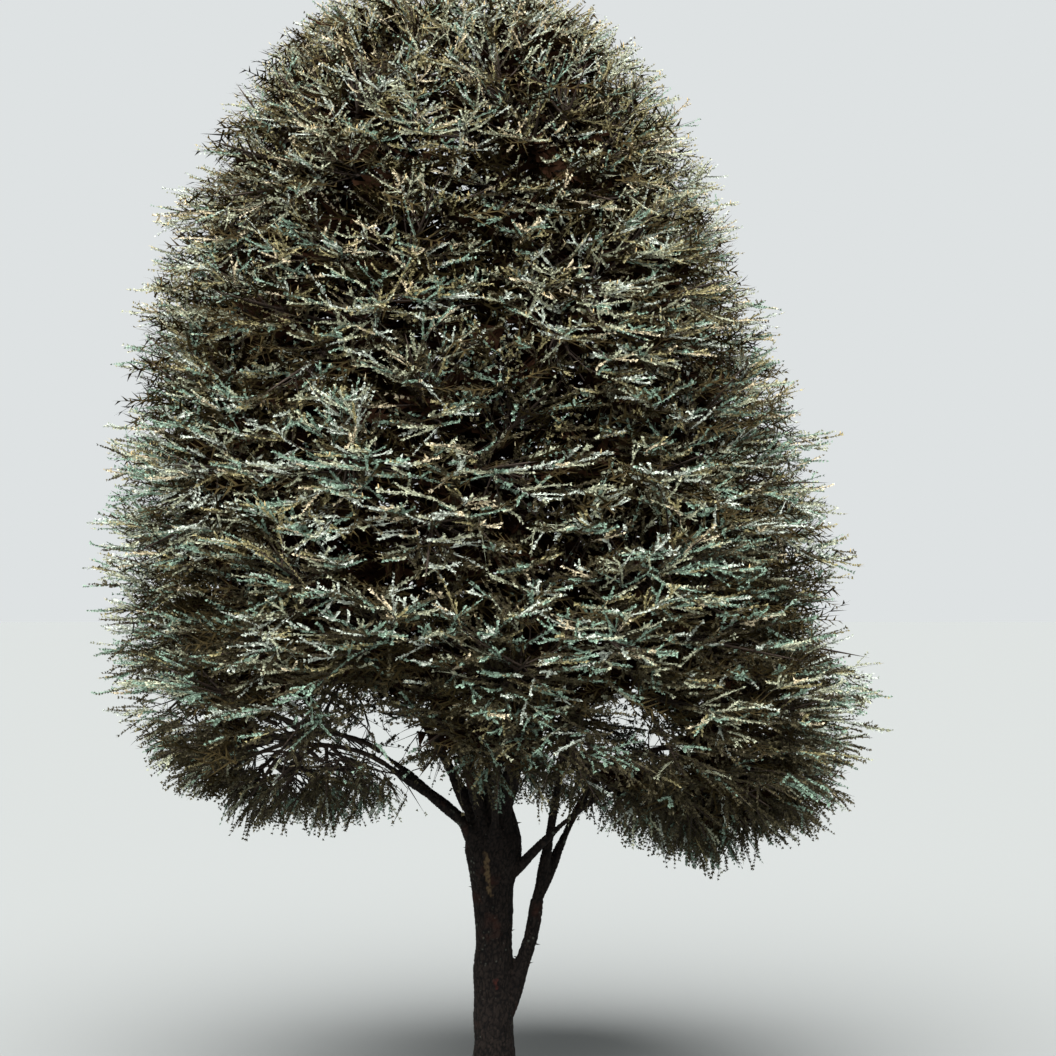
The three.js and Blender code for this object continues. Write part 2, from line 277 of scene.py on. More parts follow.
def mesh_object(
    name: str, points: np.ndarray, triangles: np.ndarray, material: bpy.types.Material
) -> bpy.types.Object:
    """Make one object of many triangles from arrays.

    Args:
        name: the piece's name.
        points: the corners, as rows of x, y and z.
        triangles: three numbers of corners for each face.
        material: the finish of the whole piece.

    Returns:
        The object, at the origin, unturned and unscaled.
    """
    mesh = bpy.data.meshes.new(name)
    mesh.vertices.add(len(points))
    mesh.vertices.foreach_set("co", np.ascontiguousarray(points, np.float32).ravel())
    mesh.loops.add(triangles.size)
    mesh.loops.foreach_set("vertex_index", np.ascontiguousarray(triangles, np.int32).ravel())
    mesh.polygons.add(len(triangles))
    mesh.polygons.foreach_set("loop_start", np.arange(0, triangles.size, 3, dtype=np.int32))
    mesh.materials.append(material)
    mesh.update(calc_edges=True)
    made = bpy.data.objects.new(name, mesh)
    bpy.context.scene.collection.objects.link(made)
    return made


def mesh_of_triangles(name: str, corners: np.ndarray, material: bpy.types.Material) -> bpy.types.Object:
    """Make one object of loose triangles from their corners, three for each."""
    points = corners.reshape(-1, 3)
    return mesh_object(name, points, np.arange(len(points)).reshape(-1, 3), material)


def place_piece(piece: bpy.types.Object, nodes: Sequence[str] = ()) -> None:
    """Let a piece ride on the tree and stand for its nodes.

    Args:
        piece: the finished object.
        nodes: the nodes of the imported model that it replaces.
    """
    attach(piece, BODY)
    if nodes:
        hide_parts(*nodes)
    LOG.info("%s: %d faces", piece.name, len(piece.data.polygons))


# The plan of the tree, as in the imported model


@dataclass(frozen=True)
class Outline:
    """The outline of the crown, turned about the leaning trunk."""

    radius: float = 3.85
    base: float = 2.42
    base_tilt: float = 0.08
    base_front_lift: float = 0.13
    arch_middle: float = 0.1
    arch_width: float = 1.5
    arch_lift: float = 0.45
    widest: float = 4.85
    top: float = 11.1
    up_power: float = 1.4
    up_rounding: float = 0.4
    down_power: float = 6.0
    down_rounding: float = 0.3
    lean: float = -0.44
    lean_start: float = 3.0
    lean_length: float = 5.6
    hang: float = 0.28
    front_hang: float = 0.3
    front_hang_middle: float = 0.35
    front_hang_width: float = 0.8
    front_hang_start: float = 1.5
    top_room: float = 0.03
    end_margin: float = 0.12

    def centre(self, z: np.ndarray | float) -> np.ndarray:
        """Return the middle of the crown, and of the trunk, at heights."""
        x = self.lean * smooth_step((np.asarray(z, float) - self.lean_start) / self.lean_length)
        return np.stack((x, 0.0 * x, x * 0.0 + z), axis=-1)

    def radius_at(self, z: np.ndarray | float) -> np.ndarray:
        """Find the crown's radius at heights.

        Args:
            z: the heights.

        Returns:
            The radii, which are zero above and below the crown.
        """
        z = np.asarray(z, float)
        inside = (z > self.base) & (z < self.top)
        z = np.clip(z, self.base, self.top)
        low = z < self.widest
        end = np.where(low, self.base, self.top)
        share = np.abs((z - self.widest) / (end - self.widest))
        power = np.where(low, self.down_power, self.up_power)
        rounding = np.where(low, self.down_rounding, self.up_rounding)
        return np.where(inside, self.radius * (1.0 - share**power) ** rounding, 0.0)

    def drop_share(self, points: np.ndarray) -> np.ndarray:
        """Compare the drop from the widest level to the tilted base with the usual drop.

        Args:
            points: where it is read.

        Returns:
            The drop at each point, as a share of the usual drop.
        """
        front = np.maximum(-points[..., 1], 0.0)
        arch = self.arch_lift * np.exp(-(((points[..., 0] - self.arch_middle) / self.arch_width) ** 2))
        base = self.base - self.base_tilt * points[..., 0] + self.base_front_lift * front + arch
        return (self.widest - base) / (self.widest - self.base)

    def lift(self, points: np.ndarray) -> np.ndarray:
        """Return how far points given by their level are lifted by the tilt of the base."""
        return np.maximum(self.widest - points[..., 2], 0.0) * (1.0 - self.drop_share(points))

    def level_of(self, points: np.ndarray) -> np.ndarray:
        """Return the level of the crown's outline that points lie on."""
        drop = np.maximum(self.widest - points[..., 2], 0.0) / self.drop_share(points)
        return np.where(drop > 0.0, self.widest - drop, points[..., 2])

    def share_out(self, points: np.ndarray) -> np.ndarray:
        """Return how far points lie from the middle, as shares of the crown's radius there."""
        offset = points[..., :2] - self.centre(points[..., 2])[..., :2]
        return np.linalg.norm(offset, axis=-1) / np.maximum(self.radius_at(self.level_of(points)), 1e-6)

    def holds(self, points: np.ndarray, share: float) -> np.ndarray:
        """Return which points lie within the crown or hang a little below its base.

        Args:
            points: the places to test.
            share: the greatest share of the crown's radius.

        Returns:
            True or false for each point.
        """
        level = self.level_of(points)
        across = (points[..., 0] - self.front_hang_middle) / self.front_hang_width
        middle = np.exp(-(across**2)) * smooth_step(-points[..., 1] - self.front_hang_start)
        kept = level > self.base - self.hang - self.front_hang * middle
        kept &= level < self.top + self.top_room
        level = np.clip(level, self.base + self.end_margin, self.top - self.end_margin)
        offset = points[..., :2] - self.centre(points[..., 2])[..., :2]
        return kept & (np.linalg.norm(offset, axis=-1) < share * self.radius_at(level))


@dataclass(frozen=True)
class Tier:
    """One tier of boughs and of the masses of foliage at their tips.

    Height is the masses' level, turn the first one's azimuth, start the height of the boughs'
    feet, thick their radius there, and rise how steeply the masses' twigs climb, in degrees.
    """

    name: str
    height: float
    count: int
    turn: float
    start: float
    thick: float
    rise: float


@dataclass(frozen=True)
class Limb:
    """A trunk, stem or bough as points on its middle line and its radius at each."""

    name: str
    points: np.ndarray
    radii: np.ndarray


@dataclass
class Mass:
    """One mass of foliage, with the foot and tip of the bough that bears it."""

    name: str
    bough: str | None
    seed: int
    rise: float
    azimuth: float
    centre: np.ndarray
    foot: np.ndarray
    tip: np.ndarray
    width: float
    is_top: bool = False
    arrival: np.ndarray | None = None


@dataclass
class TreePlan:
    """Where the limbs, the masses and their twigs lie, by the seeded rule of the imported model."""

    outline: Outline = Outline()
    tiers: tuple[Tier, ...] = (
        Tier("skirt", 3.25, 6, -90.0, 2.24, 0.058, -17.0),
        Tier("lower", 4.56, 6, -60.0, 2.32, 0.080, -7.0),
        Tier("middle", 6.12, 6, -90.0, 4.05, 0.066, 2.0),
        Tier("upper", 7.62, 5, -54.0, 5.70, 0.052, 10.0),
        Tier("high", 9.02, 4, -45.0, 7.35, 0.040, 20.0),
    )
    top_height: float = 10.27
    top_width: float = 0.56
    trunk_top: float = 9.75
    trunk_radius: float = 0.21
    trunk_tip_radius: float = 0.024
    trunk_taper: float = 1.3
    trunk_points: int = 60
    stem_points: int = 24
    bough_points: int = 28
    fork_swell: float = 0.11
    fork_swell_height: float = 2.38
    fork_swell_reach: float = 0.35
    mass_centre: float = 0.6
    stray_height: float = 0.23
    stray_azimuth: float = 9.0
    stray_foot: float = 0.09
    tip_share: float = 0.35
    tip_drop: tuple[float, float] = (0.15, 0.33)
    tip_radius: float = 0.026
    arrival_rise: float = 32.0
    collar: float = 0.075
    collar_start: float = 0.26
    collar_reach: float = 0.17
    other_collar: float = 0.2
    climb_out: float = 0.3
    climb_up: float = 0.42
    climb_back: float = 0.3
    twig_stray: float = 6.0
    twig_spread: float = 0.45
    shortest_twig: float = 0.1
    space_margin: float = 0.012
    room_step: float = 0.025
    room_steps: int = 240

    CURVE_STEPS = 160
    # How wide a bough's collar is, by the height of its foot and along its first stretch
    COLLAR_HEIGHTS = ((2.6, 1.0), (5.0, 0.35))
    COLLAR_STRETCH = ((0.0, 0.3), (0.2, 1.0))
    # Rows of twigs: their turns from the mass's azimuth, their rise and how high they start
    TWIG_ROWS = (
        ((-88, -30, 30, 88), 0, 0.0),
        ((-58, 0, 58), 34, 0.17),
        ((-58, 0, 58), -34, -0.17),
    )
    TOP_TWIG_ROWS = (
        ((0, 72, 144, 216, 288), 8, -0.12),
        ((36, 156, 276), 44, 0.06),
        ((90,), 84, 0.06),
    )
    # The control points of the side stem's curve, and its radii at foot and tip
    SIDE_STEM = ((0.09, 0.0, 0.7), (0.27, -0.01, 1.18), (0.395, -0.02, 1.5), (0.425, -0.02, 1.88))
    SIDE_STEM_RADII = (0.108, 0.066)
    # Boughs that leave the fork or the side stem, with their feet and their radii there
    OTHER_FEET = {
        "skirt_bough_2": ((0.06, 0.0, 1.96), 0.052),
        "skirt_bough_3": ((0.425, -0.02, 1.88), 0.056),
        "lower_bough_2": ((0.425, -0.02, 1.88), 0.048),
    }

    def __post_init__(self) -> None:
        """Lay out the masses, their boughs and their twigs."""
        self.masses: list[Mass] = []
        self.limbs: list[Limb] = []
        self.lay_out_masses()
        self.lay_out_limbs()
        self.centres = np.array([mass.centre for mass in self.masses])
        self.twigs = [self.twig_lines(number) for number in range(len(self.masses))]

    def lay_out_masses(self) -> None:
        """Set one mass at the tip of each bough, and one round the leader."""
        for tier in self.tiers:
            for i in range(tier.count):
                seed = len(self.masses) + 1
                azimuth = tier.turn + 360.0 * i / tier.count + stray(self.stray_azimuth, seed, 1)
                height = tier.height + stray(self.stray_height, seed, 2)
                outward = heading(azimuth)
                radius = float(self.outline.radius_at(height))
                centre = self.outline.centre(height) + outward * self.mass_centre * radius
                lift = float(self.outline.lift(centre))
                tip_height = height + lift - between(*self.tip_drop, chance(seed, 3))
                foot_height = tier.start + stray(self.stray_foot, seed, 4)
                bough = f"{tier.name}_bough_{i + 1}"
                self.masses.append(
                    Mass(
                        name=f"{tier.name}_foliage_{i + 1}",
                        bough=bough,
                        seed=seed,
                        rise=tier.rise,
                        azimuth=azimuth,
                        centre=centre + UP * lift,
                        foot=self.outline.centre(foot_height),
                        tip=self.outline.centre(tip_height) + outward * self.tip_share * radius,
                        width=math.pi * self.mass_centre * radius / tier.count,
                    )
                )
        self.masses.append(
            Mass(
                name="top_foliage",
                bough=None,
                seed=len(self.masses) + 1,
                rise=0.0,
                azimuth=0.0,
                centre=self.outline.centre(self.top_height),
                foot=self.outline.centre(self.trunk_top),
                tip=self.outline.centre(self.trunk_top),
                width=self.top_width,
                is_top=True,
                arrival=UP,
            )
        )

    def lay_out_limbs(self) -> None:
        """Lay out the trunk, the side stem and one bough for each mass."""
        heights = np.linspace(0.0, self.trunk_top, self.trunk_points)
        taper = (heights / self.trunk_top) ** self.trunk_taper
        from_fork = (heights - self.fork_swell_height) / self.fork_swell_reach
        swell = self.fork_swell * np.exp(-(from_fork**2))
        radii = between(self.trunk_radius, self.trunk_tip_radius, taper) + swell
        self.limbs.append(Limb("trunk", self.outline.centre(heights), radii))
        stem = self.cubic(np.array(self.SIDE_STEM), self.stem_points)
        self.limbs.append(Limb("side_stem", stem, np.linspace(*self.SIDE_STEM_RADII, len(stem))))
        thick_by_tier = {tier.name: tier.thick for tier in self.tiers}
        for mass in self.masses:
            if mass.bough is None:
                continue
            usual = (mass.foot, thick_by_tier[mass.bough.split("_")[0]])
            foot, thick = self.OTHER_FEET.get(mass.bough, usual)
            foot = np.array(foot)
            outward = heading(mass.azimuth)
            reach = mass.tip - foot
            climb = foot + outward * self.climb_out * math.hypot(reach[0], reach[1])
            climb[2] += self.climb_up * reach[2]
            arrival = heading(mass.azimuth, self.arrival_rise)
            arrive = mass.tip - arrival * self.climb_back * np.linalg.norm(reach)
            points = self.cubic(np.array((foot, climb, arrive, mass.tip)), self.bough_points)
            mass.arrival = unit(mass.tip - arrive)
            radii = np.linspace(thick, self.tip_radius, len(points))
            # Each bough widens where it joins the wood that bears it, the thick low ones the most
            along = np.linspace(0.0, np.linalg.norm(np.diff(points, axis=0), axis=1).sum(), len(points))
            past = np.maximum(along - self.collar_start, 0.0)
            low = graded(foot[2], self.COLLAR_HEIGHTS)
            share = np.exp(-((past / self.collar_reach) ** 2)) * graded(along, self.COLLAR_STRETCH)
            slim = self.other_collar if mass.bough in self.OTHER_FEET else 1.0
            radii = radii + self.collar * low * share * slim
            self.limbs.append(Limb(mass.bough, points, radii))

    def cubic(self, controls: np.ndarray, count: int) -> np.ndarray:
        """Space points evenly along a cubic curve.

        Args:
            controls: the curve's four control points.
            count: how many points are wanted.

        Returns:
            The points as rows.
        """
        t = np.linspace(0.0, 1.0, self.CURVE_STEPS)[:, None]
        rest = 1.0 - t
        fine = (
            controls[0] * rest**3
            + controls[1] * 3 * rest**2 * t
            + controls[2] * 3 * rest * t**2
            + controls[3] * t**3
        )
        along = np.concatenate(((0.0,), np.cumsum(np.linalg.norm(np.diff(fine, axis=0), axis=1))))
        places = np.linspace(0.0, along[-1], count)
        return np.stack([np.interp(places, along, fine[:, axis]) for axis in range(3)], axis=-1)

    def nearest_mass(self, points: np.ndarray) -> np.ndarray:
        """Return the number of the mass whose centre is nearest to each point."""
        return np.linalg.norm(points[:, None] - self.centres[None], axis=-1).argmin(axis=1)

    def in_space(self, points: np.ndarray, number: int) -> np.ndarray:
        """Test which points belong to a mass.

        Args:
            points: the places to test.
            number: the mass's number.

        Returns:
            True for each point inside the crown and nearer this mass than any other.
        """
        inside = self.outline.share_out(points) <= 1.0
        apart = np.delete(self.centres, number, axis=0) - self.centres[number]
        length = np.linalg.norm(apart, axis=1)
        past = (points - self.centres[number]) @ apart.T / length
        return inside & (past < length / 2 - self.space_margin).all(axis=1)

    def twig_lines(self, number: int) -> list[tuple[np.ndarray, np.ndarray, float]]:
        """Lay out the twigs of a mass by its rows.

        Args:
            number: the mass's number.

        Returns:
            The start, direction and length of each twig.
        """
        mass = self.masses[number]
        side = heading(mass.azimuth + 90.0)
        lines = []
        for turns, rise, step in self.TOP_TWIG_ROWS if mass.is_top else self.TWIG_ROWS:
            for turn in turns:
                index = len(lines)
                start = mass.centre + UP * step
                if not mass.is_top:
                    start = start + side * self.twig_spread * mass.width * math.sin(math.radians(turn))
                azimuth = mass.azimuth + turn + stray(self.twig_stray, mass.seed, 10 + index)
                lift = rise + mass.rise + stray(self.twig_stray, mass.seed, 30 + index)
                direction = heading(azimuth, lift)
                lengths = np.arange(1, self.room_steps) * self.room_step
                room = self.in_space(start + lengths[:, None] * direction, number)
                free = lengths[-1] if room.all() else lengths[room.argmin()] - self.room_step
                lines.append((start, direction, max(free, self.shortest_twig)))
        return lines


# Shoots


@dataclass
class Shoots:
    """Many gently curved shoots as arrays: place = root + run * share + turn * share squared."""

    root: np.ndarray
    run: np.ndarray
    turn: np.ndarray
    flat: np.ndarray
    tone: np.ndarray

    @classmethod
    def bare(cls, root: np.ndarray, run: np.ndarray, turn: np.ndarray | float = 0.0) -> "Shoots":
        """Return shoots without needles, whose plane and tone don't matter."""
        return cls(root, run, turn + 0.0 * root, run, np.zeros(len(root)))

    @property
    def length(self) -> np.ndarray:
        """Return the shoots' lengths, measured straight."""
        return np.linalg.norm(self.run + self.turn, axis=-1)

    def place(self, share: np.ndarray) -> np.ndarray:
        """Return a point on each shoot, at its share of the way."""
        return self.root + self.run * share[:, None] + self.turn * (share * share)[:, None]

    def course(self, share: np.ndarray) -> np.ndarray:
        """Return the direction of each shoot at its share of the way."""
        return unit(self.run + self.turn * 2.0 * share[:, None])

    def at(self, share: float) -> np.ndarray:
        """Return the point on each shoot at the same share of its way."""
        return self.place(np.full(len(self.root), share))

    def take(self, chosen: np.ndarray) -> "Shoots":
        """Return the shoots at the chosen numbers, repeated where a number repeats."""
        return Shoots(*(values[chosen] for values in vars(self).values()))

    def join(self, other: "Shoots") -> "Shoots":
        """Return these shoots followed by the others."""
        pairs = zip(vars(self).values(), vars(other).values())
        return Shoots(*(np.concatenate(pair) for pair in pairs))


def tapers(
    shoots: Shoots, radii: tuple[np.ndarray | float, np.ndarray | float], rings: int, sides: int
) -> tuple[np.ndarray, np.ndarray]:
    """Make a slim tapering tube along each shoot, closed to a point at its tip.

    Args:
        shoots: the shoots to follow.
        radii: the tubes' radii at their roots, and at the last ring before their tips.
        rings: how many rings each tube has before its tip.
        sides: how many corners each ring has.

    Returns:
        The corners and the triangles.
    """
    count = len(shoots.root)
    thick, thin = (np.full(count, radius) for radius in radii)
    reference = reference_for(unit(shoots.run))
    corners = []
    for number, share in enumerate(np.arange(rings) / rings):
        course = shoots.course(np.full(count, share))
        across = unit(np.cross(course, reference))
        upward = np.cross(across, course)
        radius = (thick + (thin - thick) * number / max(rings - 1, 1))[:, None]
        centre = shoots.at(share)
        for side in range(sides):
            angle = 2.0 * math.pi * side / sides
            corners.append(centre + radius * (across * math.cos(angle) + upward * math.sin(angle)))
    corners.append(shoots.at(1.0))
    points = np.stack(corners, axis=1)
    faces = []
    for ring in range(rings - 1):
        for side in range(sides):
            low, high = ring * sides + side, ring * sides + (side + 1) % sides
            faces.append((low, high, high + sides))
            faces.append((low, high + sides, low + sides))
    last = (rings - 1) * sides
    for side in range(sides):
        faces.append((last + side, last + (side + 1) % sides, rings * sides))
    offsets = np.arange(count)[:, None, None] * (rings * sides + 1)
    triangles = (np.array(faces)[None] + offsets).reshape(-1, 3)
    return points.reshape(-1, 3), triangles


def build_tubes(
    name: str, parts: Sequence[tuple[np.ndarray, np.ndarray]], finish: "TwigFinish"
) -> None:
    """Join sets of tubes into one piece and place it.

    Args:
        name: the piece's name.
        parts: the corners and triangles of each set.
        finish: the finish of the whole piece.
    """
    offsets = np.cumsum([0, *(len(corners) for corners, _ in parts)])
    points = np.concatenate([corners for corners, _ in parts])
    triangles = np.concatenate([faces + offset for (_, faces), offset in zip(parts, offsets)])
    place_piece(mesh_object(name, points, triangles, finish.material()))


# Finishes


@dataclass(frozen=True)
class SoftFinish:
    """A dull finish that changes softly from one tone to another close one."""

    name: str
    base: str
    other: str
    patch: float
    roughness: float
    gloss: float
    detail: float
    stops: tuple[float, float]

    def material(self) -> bpy.types.Material:
        """Build the finish from its nodes.

        Returns:
            The material.
        """
        made = empty_material(self.name)
        place = add_node(made, "ShaderNodeTexCoord").outputs["Object"]
        pattern = {"Vector": place, "Scale": 1.0 / self.patch, "Detail": self.detail}
        patches = add_node(made, "ShaderNodeTexNoise", pattern).outputs["Fac"]
        stops = tuple(zip(self.stops, (self.base, self.other)))
        tone = add_node(made, "ShaderNodeValToRGB", {"Fac": patches}, stops=stops).outputs["Color"]
        surface = {"Base Color": tone, "Roughness": self.roughness, "Specular IOR Level": self.gloss}
        shader = add_node(made, "ShaderNodeBsdfPrincipled", surface)
        add_node(made, "ShaderNodeOutputMaterial", {"Surface": shader.outputs["BSDF"]})
        return made


@dataclass(frozen=True)
class NeedleFinish(SoftFinish):
    """Cedar needles with their waxy bloom: a soft, half-dull green with slight changes of tone."""

    # A rosette of needles is some 40 mm wide, so the bloom changes from rosette to rosette
    patch: float = 0.03
    roughness: float = 0.6
    gloss: float = 0.15
    detail: float = 1.0
    stops: tuple[float, float] = (0.36, 0.64)


@dataclass(frozen=True)
class TwigFinish(SoftFinish):
    """Thin rough bark of twigs: dull, with fine changes from dark to pale."""

    # Real twig bark flakes at 2 or 3 mm, drawn coarser here so that it shows
    patch: float = 0.012
    roughness: float = 0.85
    gloss: float = 0.25
    detail: float = 2.0
    stops: tuple[float, float] = (0.3, 0.7)


@dataclass(frozen=True)
class BarkFinish:
    """Old cedar bark: grey-brown plates spotted with pale lichen, and cracks painted nearly black as
    shade.
    """

    name: str = "cracked_cedar_bark"
    # The crack colour is painted shade in the cracks
    crack: str = "#070504"
    plate: str = "#1b1512"
    worn: str = "#2c241f"
    lichen: str = "#5d6157"
    red: str = "#3d2117"
    tan: str = "#5a4a34"
    bare: str = "#46201a"
    fissure: str = "fissure"
    tan_mark: str = "tan_lichen"
    bare_mark: str = "bare_wood"
    roughness: float = 0.92
    gloss: float = 0.2
    # How many patches of each pattern lie in a metre
    plate_patches: float = 16.0
    rust_patches: float = 3.1
    lichen_spots: float = 17.0
    lichen_stretches: float = 3.6
    flake_patches: float = 190.0
    flake_relief: float = 0.006

    def material(self) -> bpy.types.Material:
        """Build the finish, whose painted shade in the cracks follows the relief of the mesh.

        Returns:
            The material.
        """
        made = empty_material(self.name)
        place = add_node(made, "ShaderNodeTexCoord").outputs["Object"]
        depth = add_node(made, "ShaderNodeAttribute", attribute_name=self.fissure)
        # Plates of bark some 50 mm wide differ in tone, and weather to grey on their faces
        pattern = {"Vector": place, "Scale": self.plate_patches, "Detail": 5.0}
        blotch = add_node(made, "ShaderNodeTexNoise", pattern).outputs["Fac"]
        stops = ((0.32, self.plate), (0.72, self.worn))
        plates = add_node(made, "ShaderNodeValToRGB", {"Fac": blotch}, stops=stops).outputs["Color"]
        # Painted shade: the cracks, and faintly the edges of the flakes, turn nearly black by their
        # carved depth
        links = {0: depth.outputs["Fac"], 6: plates, 7: colour(self.crack)}
        cracked = add_node(made, "ShaderNodeMix", links, data_type="RGBA").outputs[2]
        # A reddish patch where an old plate has come away
        pattern = {"Vector": place, "Scale": self.rust_patches, "Detail": 3.0}
        rust = add_node(made, "ShaderNodeTexNoise", pattern).outputs["Fac"]
        links = {"Value": rust, "From Min": 0.60, "From Max": 0.72, "To Max": 0.55}
        rust_share = add_node(made, "ShaderNodeMapRange", links).outputs["Result"]
        links = {0: rust_share, 6: cracked, 7: colour(self.red)}
        marked = add_node(made, "ShaderNodeMix", links, data_type="RGBA").outputs[2]
        # A tan stripe of lichen below the fork, and a hand-sized place where the bark has gone
        for name, tone in ((self.tan_mark, self.tan), (self.bare_mark, self.bare)):
            mark = add_node(made, "ShaderNodeAttribute", attribute_name=name)
            links = {0: mark.outputs["Fac"], 6: marked, 7: colour(tone)}
            marked = add_node(made, "ShaderNodeMix", links, data_type="RGBA").outputs[2]
        # Lichen grows in round spots of 20 to 40 mm, thicker in some stretches than in others
        pattern = {"Vector": place, "Scale": self.lichen_spots, "Randomness": 1.0}
        spots = add_node(made, "ShaderNodeTexVoronoi", pattern).outputs["Distance"]
        pattern = {"Vector": place, "Scale": self.lichen_stretches, "Detail": 2.0}
        stretch = add_node(made, "ShaderNodeTexNoise", pattern).outputs["Fac"]
        links = {"Value": stretch, "From Min": 0.42, "From Max": 0.75, "To Max": 0.42}
        reach = add_node(made, "ShaderNodeMapRange", links).outputs["Result"]
        inside = add_node(made, "ShaderNodeMath", {0: reach, 1: spots}, operation="SUBTRACT")
        links = {"Value": inside.outputs["Value"], "From Min": 0.0, "From Max": 0.14, "To Max": 0.5}
        lichen_share = add_node(made, "ShaderNodeMapRange", links).outputs["Result"]
        links = {0: lichen_share, 6: marked, 7: colour(self.lichen)}
        finished = add_node(made, "ShaderNodeMix", links, data_type="RGBA").outputs[2]
        # The faces of the plates flake at about 5 mm
        pattern = {"Vector": place, "Scale": self.flake_patches, "Detail": 4.0}
        flakes = add_node(made, "ShaderNodeTexNoise", pattern).outputs["Fac"]
        links = {"Height": flakes, "Strength": 0.6, "Distance": self.flake_relief}
        relief = add_node(made, "ShaderNodeBump", links).outputs["Normal"]
        surface = {
            "Base Color": finished,
            "Roughness": self.roughness,
            "Specular IOR Level": self.gloss,
            "Normal": relief,
        }
        shader = add_node(made, "ShaderNodeBsdfPrincipled", surface)
        add_node(made, "ShaderNodeOutputMaterial", {"Surface": shader.outputs["BSDF"]})
        return made


# Wood


@dataclass
class Bark:
    """The trunk, side stem and boughs as one skin with the relief of old bark."""

    plan: TreePlan
    root_flare: float = 0.12
    flare_height: float = 0.15
    root_ridges: int = 5
    ridge_share: float = 0.35
    split_height: float = 3.3
    split_overlap: float = 0.12
    fine_step: float = 0.0115
    coarse_step: float = 0.021
    tube_resolution: int = 6
    crotch_smoothing: float = 0.5
    crotch_passes: int = 4
    plate_width: float = 0.034
    plate_height: float = 0.085
    warp_size: float = 0.07
    warp_depth: float = 0.012
    crack_depth: float = 0.009
    crack_share: float = 0.22
    flake_size: float = 0.022
    flake_depth: float = 0.0035
    flake_share: float = 0.4
    # How much painted shade the edges of the flakes get
    flake_shade: float = 0.35
    swell_size: float = 0.3
    swell_depth: float = 0.008
    ground_room: float = 0.02
    mark_half_width: float = 0.026
    mark_edge: float = 0.012
    mark_raggedness: float = 0.45
    mark_ragged_size: float = 0.03
    mark_cover: float = 0.3
    mark_cover_size: float = 0.022
    mark_patches: tuple[float, float] = (0.5, 0.6)
    mark_front: float = -0.08
    finish: BarkFinish = BarkFinish()

    # The upper and lower end of each mark on the trunk's front, across and up
    TAN_MARK = ((-0.07, 2.34), (-0.03, 1.93))
    BARE_MARK = ((0.02, 1.10), (0.03, 1.03))
    CELL_MIXES = ((127.1, 311.7, 74.7), (269.5, 183.3, 246.1), (113.5, 271.9, 124.6))

    def build(self) -> None:
        """Build the wood below and above the crown's lowest tier."""
        material = self.finish.material()
        nodes = [limb.name for limb in self.plan.limbs]
        spans = (
            ("bark_low", -math.inf, self.split_height, self.fine_step),
            ("bark_high", self.split_height - self.split_overlap, math.inf, self.coarse_step),
        )
        for name, low, high, step in spans:
            piece = self.skin(name, low, high, step)
            self.carve(piece)
            piece.data.materials.clear()
            piece.data.materials.append(material)
            place_piece(piece, nodes)

    def tube(self, limb: Limb, low: float, high: float) -> bpy.types.Object | None:
        """Model one limb between two heights as a bevelled curve made into a mesh.

        Args:
            limb: the limb's middle line and radii.
            low: the lowest height that is wanted.
            high: the greatest height that is wanted.

        Returns:
            The tube, or None where the limb has less than two points between them.
        """
        kept = (limb.points[:, 2] >= low) & (limb.points[:, 2] <= high)
        if kept.sum() < 2:
            return None
        bpy.ops.object.select_all(action="DESELECT")
        bpy.ops.curve.primitive_nurbs_path_add(location=(0.0, 0.0, 0.0))
        data = bpy.context.active_object.data
        data.splines.clear()
        spline = data.splines.new("POLY")
        spline.points.add(int(kept.sum()) - 1)
        for point, middle, radius in zip(spline.points, limb.points[kept], limb.radii[kept]):
            point.co = (*middle, 1.0)
            point.radius = radius
        data.dimensions = "3D"
        data.bevel_depth = 1.0
        data.bevel_resolution = self.tube_resolution
        data.use_fill_caps = True
        bpy.ops.object.convert(target="MESH")
        return bpy.context.active_object

    def skin(self, name: str, low: float, high: float, step: float) -> bpy.types.Object:
        """Join the limbs between two heights and wrap one even skin round them.

        Args:
            name: the piece's name.
            low: the lowest height.
            high: the greatest height.
            step: the spacing of the skin's points.

        Returns:
            The skin, its crotches rounded.
        """
        tubes = [self.tube(limb, low, high) for limb in self.plan.limbs]
        tubes = [made for made in tubes if made is not None]
        if low < 0.0:
            self.flare(tubes[0])
        bpy.ops.object.select_all(action="DESELECT")
        for made in tubes:
            made.select_set(True)
        bpy.context.view_layer.objects.active = tubes[0]
        bpy.ops.object.join()
        piece = bpy.context.active_object
        piece.name = name
        piece.data.name = name
        remesh = piece.modifiers.new("skin", "REMESH")
        remesh.mode = "VOXEL"
        remesh.voxel_size = step
        remesh.use_smooth_shade = True
        bpy.ops.object.modifier_apply(modifier=remesh.name)
        smooth = piece.modifiers.new("crotches", "SMOOTH")
        smooth.factor = self.crotch_smoothing
        smooth.iterations = self.crotch_passes
        bpy.ops.object.modifier_apply(modifier=smooth.name)
        return piece

    def flare(self, trunk: bpy.types.Object) -> None:
        """Widen the trunk's foot by its root flare, with its ridges.

        Args:
            trunk: the trunk's tube.
        """
        points = self.points_of(trunk)
        offset = points - self.plan.outline.centre(points[:, 2])
        angle = np.arctan2(offset[:, 1], offset[:, 0])
        flare = self.root_flare * np.exp(-points[:, 2] / self.flare_height)
        flare = flare * (1.0 + self.ridge_share * np.cos(self.root_ridges * angle))
        points[:, :2] += unit(offset[:, :2]) * flare[:, None]
        trunk.data.vertices.foreach_set("co", points.astype(np.float32).ravel())

    @staticmethod
    def points_of(piece: bpy.types.Object) -> np.ndarray:
        """Read the corners of a mesh.

        Args:
            piece: the object that has it.

        Returns:
            The corners as rows.
        """
        values = np.empty(len(piece.data.vertices) * 3, np.float32)
        piece.data.vertices.foreach_get("co", values)
        return values.reshape(-1, 3).astype(float)

